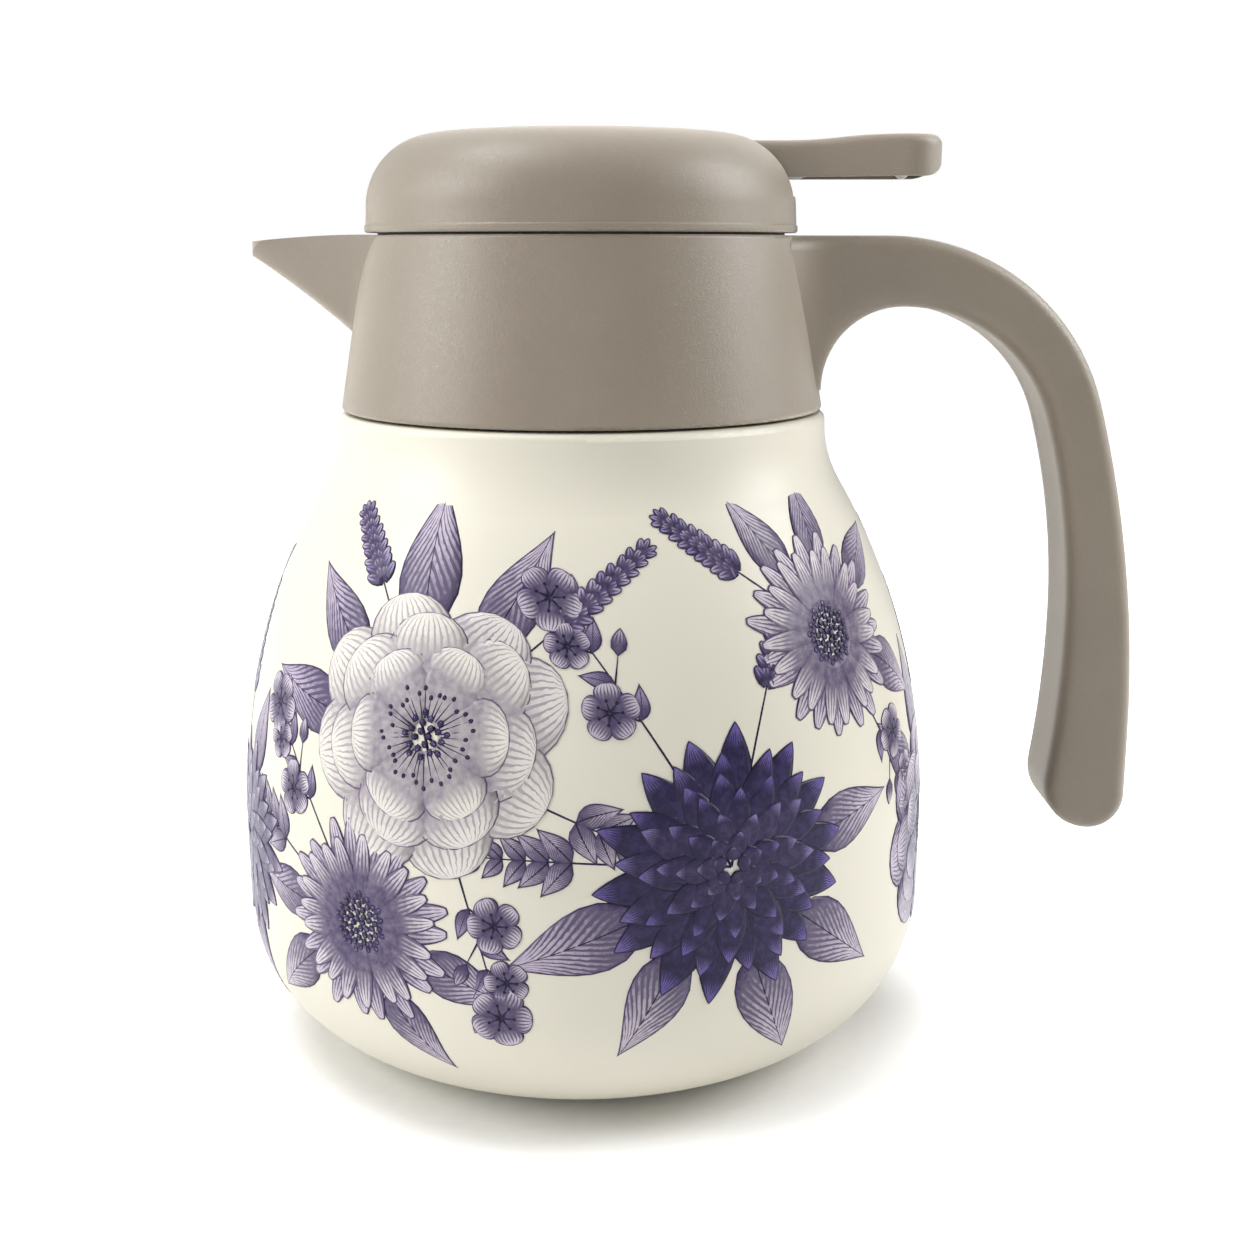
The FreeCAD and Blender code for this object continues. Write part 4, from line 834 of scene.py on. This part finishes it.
FLOWERS = {
    "front_dahlia": (-67, 54, 50),
    "spout_dahlia": (-160, 47, 40),
    "handle_dahlia": (20, 84, 40),
    "back_dahlia": (124, 50, 48),
    "front_anemone": (-113, 77, 52),
    "handle_anemone": (-14, 47, 44),
    "back_anemone": (66, 60, 52),
    "spout_anemone": (168, 76, 44),
    "front_low_aster": (-124, 41, 38),
    "front_high_aster": (-43, 91, 38),
    "back_high_aster": (98, 90, 36),
    "back_low_aster": (36, 40, 34),
}

# Turn and tone of the flowers.

DAHLIAS = [
    ("front_dahlia", 0.1, 0.0),
    ("spout_dahlia", 0.4, 0.36),
    ("handle_dahlia", 0.2, 0.36),
    ("back_dahlia", 0.6, 0.0),
]
ANEMONES = [
    ("front_anemone", 0.3, 0.95),
    ("handle_anemone", 0.9, 0.42),
    ("back_anemone", 0.2, 0.95),
    ("spout_anemone", 0.7, 0.4),
]
ASTERS = [
    ("front_low_aster", 0.0, 0.56),
    ("front_high_aster", 0.3, 0.64),
    ("back_high_aster", 0.1, 0.64),
    ("back_low_aster", 0.2, 0.56),
]

# Leaves under a flower: their directions in degrees, and tone.

LEAF_GROUPS = [
    ("front_dahlia", (-75, -38, 8, 205, 238), 0.50),
    ("front_anemone", (60, 98, 142, 176), 0.40),
    ("front_low_aster", (-62, -20, 178, 215), 0.48),
    ("front_high_aster", (35, 80, 118, -25), 0.42),
    ("spout_dahlia", (150, 195, 285, 70), 0.44),
    ("handle_anemone", (95, 130, 285, 330), 0.44),
    ("handle_dahlia", (20, 75, 130, 300), 0.48),
    ("back_anemone", (75, 120, 200, 260, 330), 0.40),
    ("back_high_aster", (40, 85, 120, 330), 0.48),
    ("back_dahlia", (200, 250, 300, 340, 30), 0.50),
    ("spout_anemone", (50, 95, 140, 210, 270), 0.42),
    ("back_low_aster", (0, 200, 250, 310), 0.48),
]

# Stems that start under a flower: length, direction in degrees, bare share of the stem, and tone.

SPRAYS = [
    ("front_anemone", 50, -28, 0.62, 0.49),
    ("front_dahlia", 46, 172, 0.62, 0.44),
    ("front_low_aster", 40, 152, 0.6, 0.49),
    ("back_anemone", 48, 160, 0.62, 0.49),
    ("back_dahlia", 46, 100, 0.6, 0.44),
    ("handle_anemone", 44, 20, 0.6, 0.49),
    ("spout_anemone", 44, 185, 0.6, 0.49),
]
LAVENDERS = [
    ("front_anemone", 43, 112, 0.68, 0.25),
    ("front_anemone", 47, 40, 0.64, 0.3),
    ("front_high_aster", 36, 145, 0.62, 0.25),
    ("front_dahlia", 52, 78, 0.62, 0.2),
    ("spout_dahlia", 48, 100, 0.58, 0.3),
    ("back_anemone", 50, 95, 0.62, 0.3),
    ("back_dahlia", 50, 70, 0.6, 0.3),
    ("handle_anemone", 48, 75, 0.58, 0.3),
    ("spout_anemone", 40, 120, 0.65, 0.3),
]
SPRIGS = [
    ("front_anemone", 52, -72, 0.6, 0.5),
    ("front_dahlia", 56, 118, 0.55, 0.5),
    ("front_high_aster", 44, -65, 0.52, 0.6),
    ("front_low_aster", 44, 118, 0.55, 0.6),
    ("back_anemone", 54, -20, 0.58, 0.5),
    ("handle_dahlia", 46, -100, 0.52, 0.55),
    ("back_high_aster", 42, 190, 0.55, 0.5),
    ("spout_anemone", 48, -60, 0.58, 0.55),
]
PRINT_SEED = 11


def make_print():
    """The whole print, one piece for each kind of motif."""
    ink = flower_ink()
    chance = random.Random(PRINT_SEED)
    motifs = (
        ("print_leaves", leaves, LEAF_GROUPS), ("print_sprays", spray, SPRAYS),
        ("print_lavender", lavender, LAVENDERS), ("print_sprigs", sprig, SPRIGS),
        ("print_asters", aster, ASTERS), ("print_anemones", anemone, ANEMONES),
        ("print_dahlias", dahlia, DAHLIAS),
    )
    for name, draw, rows in motifs:
        art = Print()
        for row in rows:
            draw(art, *row, chance)
        art.build(name, ink)


# Finishes of the solids.

def finish_nodes():
    """Give every solid its finish, and return the wire's finish for the spring."""
    taupe = grained_plastic()
    ivory = ivory_paint()
    sheet = brushed_steel("spun_steel", srgb(205, 205, 204), srgb(170, 170, 169), (0.05, 0.05, 1.0))
    wire = brushed_steel("drawn_steel", srgb(200, 200, 200), srgb(165, 165, 166), (1.0, 0.05, 1.0))
    solder = brushed_steel("solder", srgb(150, 150, 152), srgb(122, 122, 126), (1.0, 1.0, 1.0))
    inner = plain_moulding("dark_moulding", srgb(66, 62, 57), srgb(58, 55, 50), 0.5, 0.006)
    silicone = plain_moulding("milky_silicone", srgb(240, 239, 235), srgb(232, 231, 226), 0.4, 0.003)
    rubber = plain_moulding("foot_rubber", srgb(92, 86, 80), srgb(78, 73, 68), 0.7, 0.02)
    finishes = {
        "body_paint": ivory, "grained_plastic": taupe, "inner_plastic": inner, "steel": sheet,
        "solder": solder, "silicone": silicone, "foot_rubber": rubber,
    }
    for part in frame["record"]["subparts"]:
        piece = nodes[part["node"]]
        piece.data.materials.clear()
        piece.data.materials.append(finishes[part["material_slot"]])
    for name in ("lever_pin", "lift_pin", "valve_spring", "stem_clip", "lid_screws"):
        nodes[name].data.materials[0] = wire
    return wire


# Valve spring: a coil with closed ends, in the place of its plain tube.

SPRING_WIRE = 1.0
SPRING_TURNS = 8
CLOSED_TURNS = 1
STEPS_A_TURN = 32
WIRE_SIDES = 10


def spring_height(turn, low, high):
    """Height of the wire after a number of turns: touching coils at both ends, even rise between."""
    rise = (high - low - 2 * CLOSED_TURNS * SPRING_WIRE) / (SPRING_TURNS - 2 * CLOSED_TURNS)
    if turn < CLOSED_TURNS:
        return low + turn * SPRING_WIRE
    if turn > SPRING_TURNS - CLOSED_TURNS:
        return high - (SPRING_TURNS - turn) * SPRING_WIRE
    return low + CLOSED_TURNS * SPRING_WIRE + (turn - CLOSED_TURNS) * rise


def make_spring(finish):
    """Round wire swept along the coil."""
    node_low, node_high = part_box("valve_spring")
    bottom, top = node_low[2] / MM, node_high[2] / MM
    wire = SPRING_WIRE / 2
    reach = node_high[0] / MM - wire
    points = []
    faces = []
    steps = SPRING_TURNS * STEPS_A_TURN
    for step in range(steps + 1):
        turn = step / STEPS_A_TURN
        height = spring_height(turn, bottom + wire, top - wire)
        for side in range(WIRE_SIDES):
            around = FULL_TURN * side / WIRE_SIDES
            radius = reach + wire * math.cos(around)
            points.append(Vector((radius * math.cos(FULL_TURN * turn), radius * math.sin(FULL_TURN * turn),
                                  height + wire * math.sin(around))) * MM)
    for step in range(steps):
        for side in range(WIRE_SIDES):
            after = (side + 1) % WIRE_SIDES
            near, far = step * WIRE_SIDES, (step + 1) * WIRE_SIDES
            faces.append((near + side, near + after, far + after, far + side))
    faces.append(tuple(range(WIRE_SIDES))[::-1])
    faces.append(tuple(steps * WIRE_SIDES + side for side in range(WIRE_SIDES)))
    mesh = bpy.data.meshes.new("spring_coil")
    mesh.from_pydata(points, [], faces)
    mesh.materials.append(finish)
    mesh.update()
    for polygon in mesh.polygons:
        polygon.use_smooth = len(polygon.vertices) == 4
    piece = bpy.data.objects.new("spring_coil", mesh)
    bpy.context.scene.collection.objects.link(piece)
    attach(piece, "lid")
    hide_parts("valve_spring")
    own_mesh(piece)


# Studio.

CAMERA_PLACE = (9, -346, 160)
CAMERA_PITCH = 12.6
CAMERA_LENS = 48.8
CAMERA_SENSOR = 36.0
CAMERA_NEAR = 10
FLOOR_HALF = 40000
WORLD_LIGHT = 0.06
LAMP_TARGET = (0, 0, 95)
LAMP_DISTANCE = 850

# Lamps: azimuth about +X, elevation, size and power.

LAMPS = [
    ("left_high", 182, 65, (360, 360), 3.1),
    ("left_side", 198, 26, (360, 560), 4.75),
    ("right_side", 2, 31, (360, 560), 5.3),
    ("front", 270, 15, (500, 400), 0.8),
]


def make_camera():
    data = bpy.data.cameras.new("camera")
    data.sensor_width = CAMERA_SENSOR
    data.lens = CAMERA_LENS
    data.clip_start = CAMERA_NEAR * MM
    camera = bpy.data.objects.new("camera", data)
    camera.location = Vector(CAMERA_PLACE) * MM
    camera.rotation_euler = (math.radians(90 - CAMERA_PITCH), 0, 0)
    bpy.context.scene.collection.objects.link(camera)
    bpy.context.scene.camera = camera


def soft_box(name, azimuth, elevation, size, power):
    """Area lamp that looks at the jug's middle."""
    data = bpy.data.lights.new(name, "AREA")
    data.shape = "RECTANGLE"
    data.size, data.size_y = (value * MM for value in size)
    data.energy = power
    lamp = bpy.data.objects.new(name, data)
    turn = Matrix.Rotation(math.radians(azimuth), 3, "Z") @ Matrix.Rotation(math.radians(-elevation), 3, "Y")
    away = turn @ Vector((LAMP_DISTANCE, 0, 0))
    lamp.location = (Vector(LAMP_TARGET) + away) * MM
    lamp.rotation_euler = (-away).to_track_quat("-Z", "Y").to_euler()
    bpy.context.scene.collection.objects.link(lamp)


def make_world():
    world = bpy.data.worlds.new("studio")
    bpy.context.scene.world = world
    world.use_nodes = True
    tree = world.node_tree
    background = tree.nodes["Background"]
    background.inputs["Color"].default_value = WHITE
    strength = remap(tree, seen_directly(tree), 0, 1, WORLD_LIGHT, 1.0, smooth=False)
    tree.links.new(strength, background.inputs["Strength"])


def make_studio():
    make_camera()
    make_world()
    for lamp in LAMPS:
        soft_box(*lamp)
    half = FLOOR_HALF * MM
    mesh = bpy.data.meshes.new("floor")
    corners = [(-half, -half, 0), (half, -half, 0), (half, half, 0), (-half, half, 0)]
    mesh.from_pydata(corners, [], [(0, 1, 2, 3)])
    mesh.materials.append(floor_finish())
    floor = bpy.data.objects.new("floor", mesh)
    bpy.context.scene.collection.objects.link(floor)


make_spring(finish_nodes())
make_print()
make_studio()
bpy.context.scene.view_settings.view_transform = "Standard"
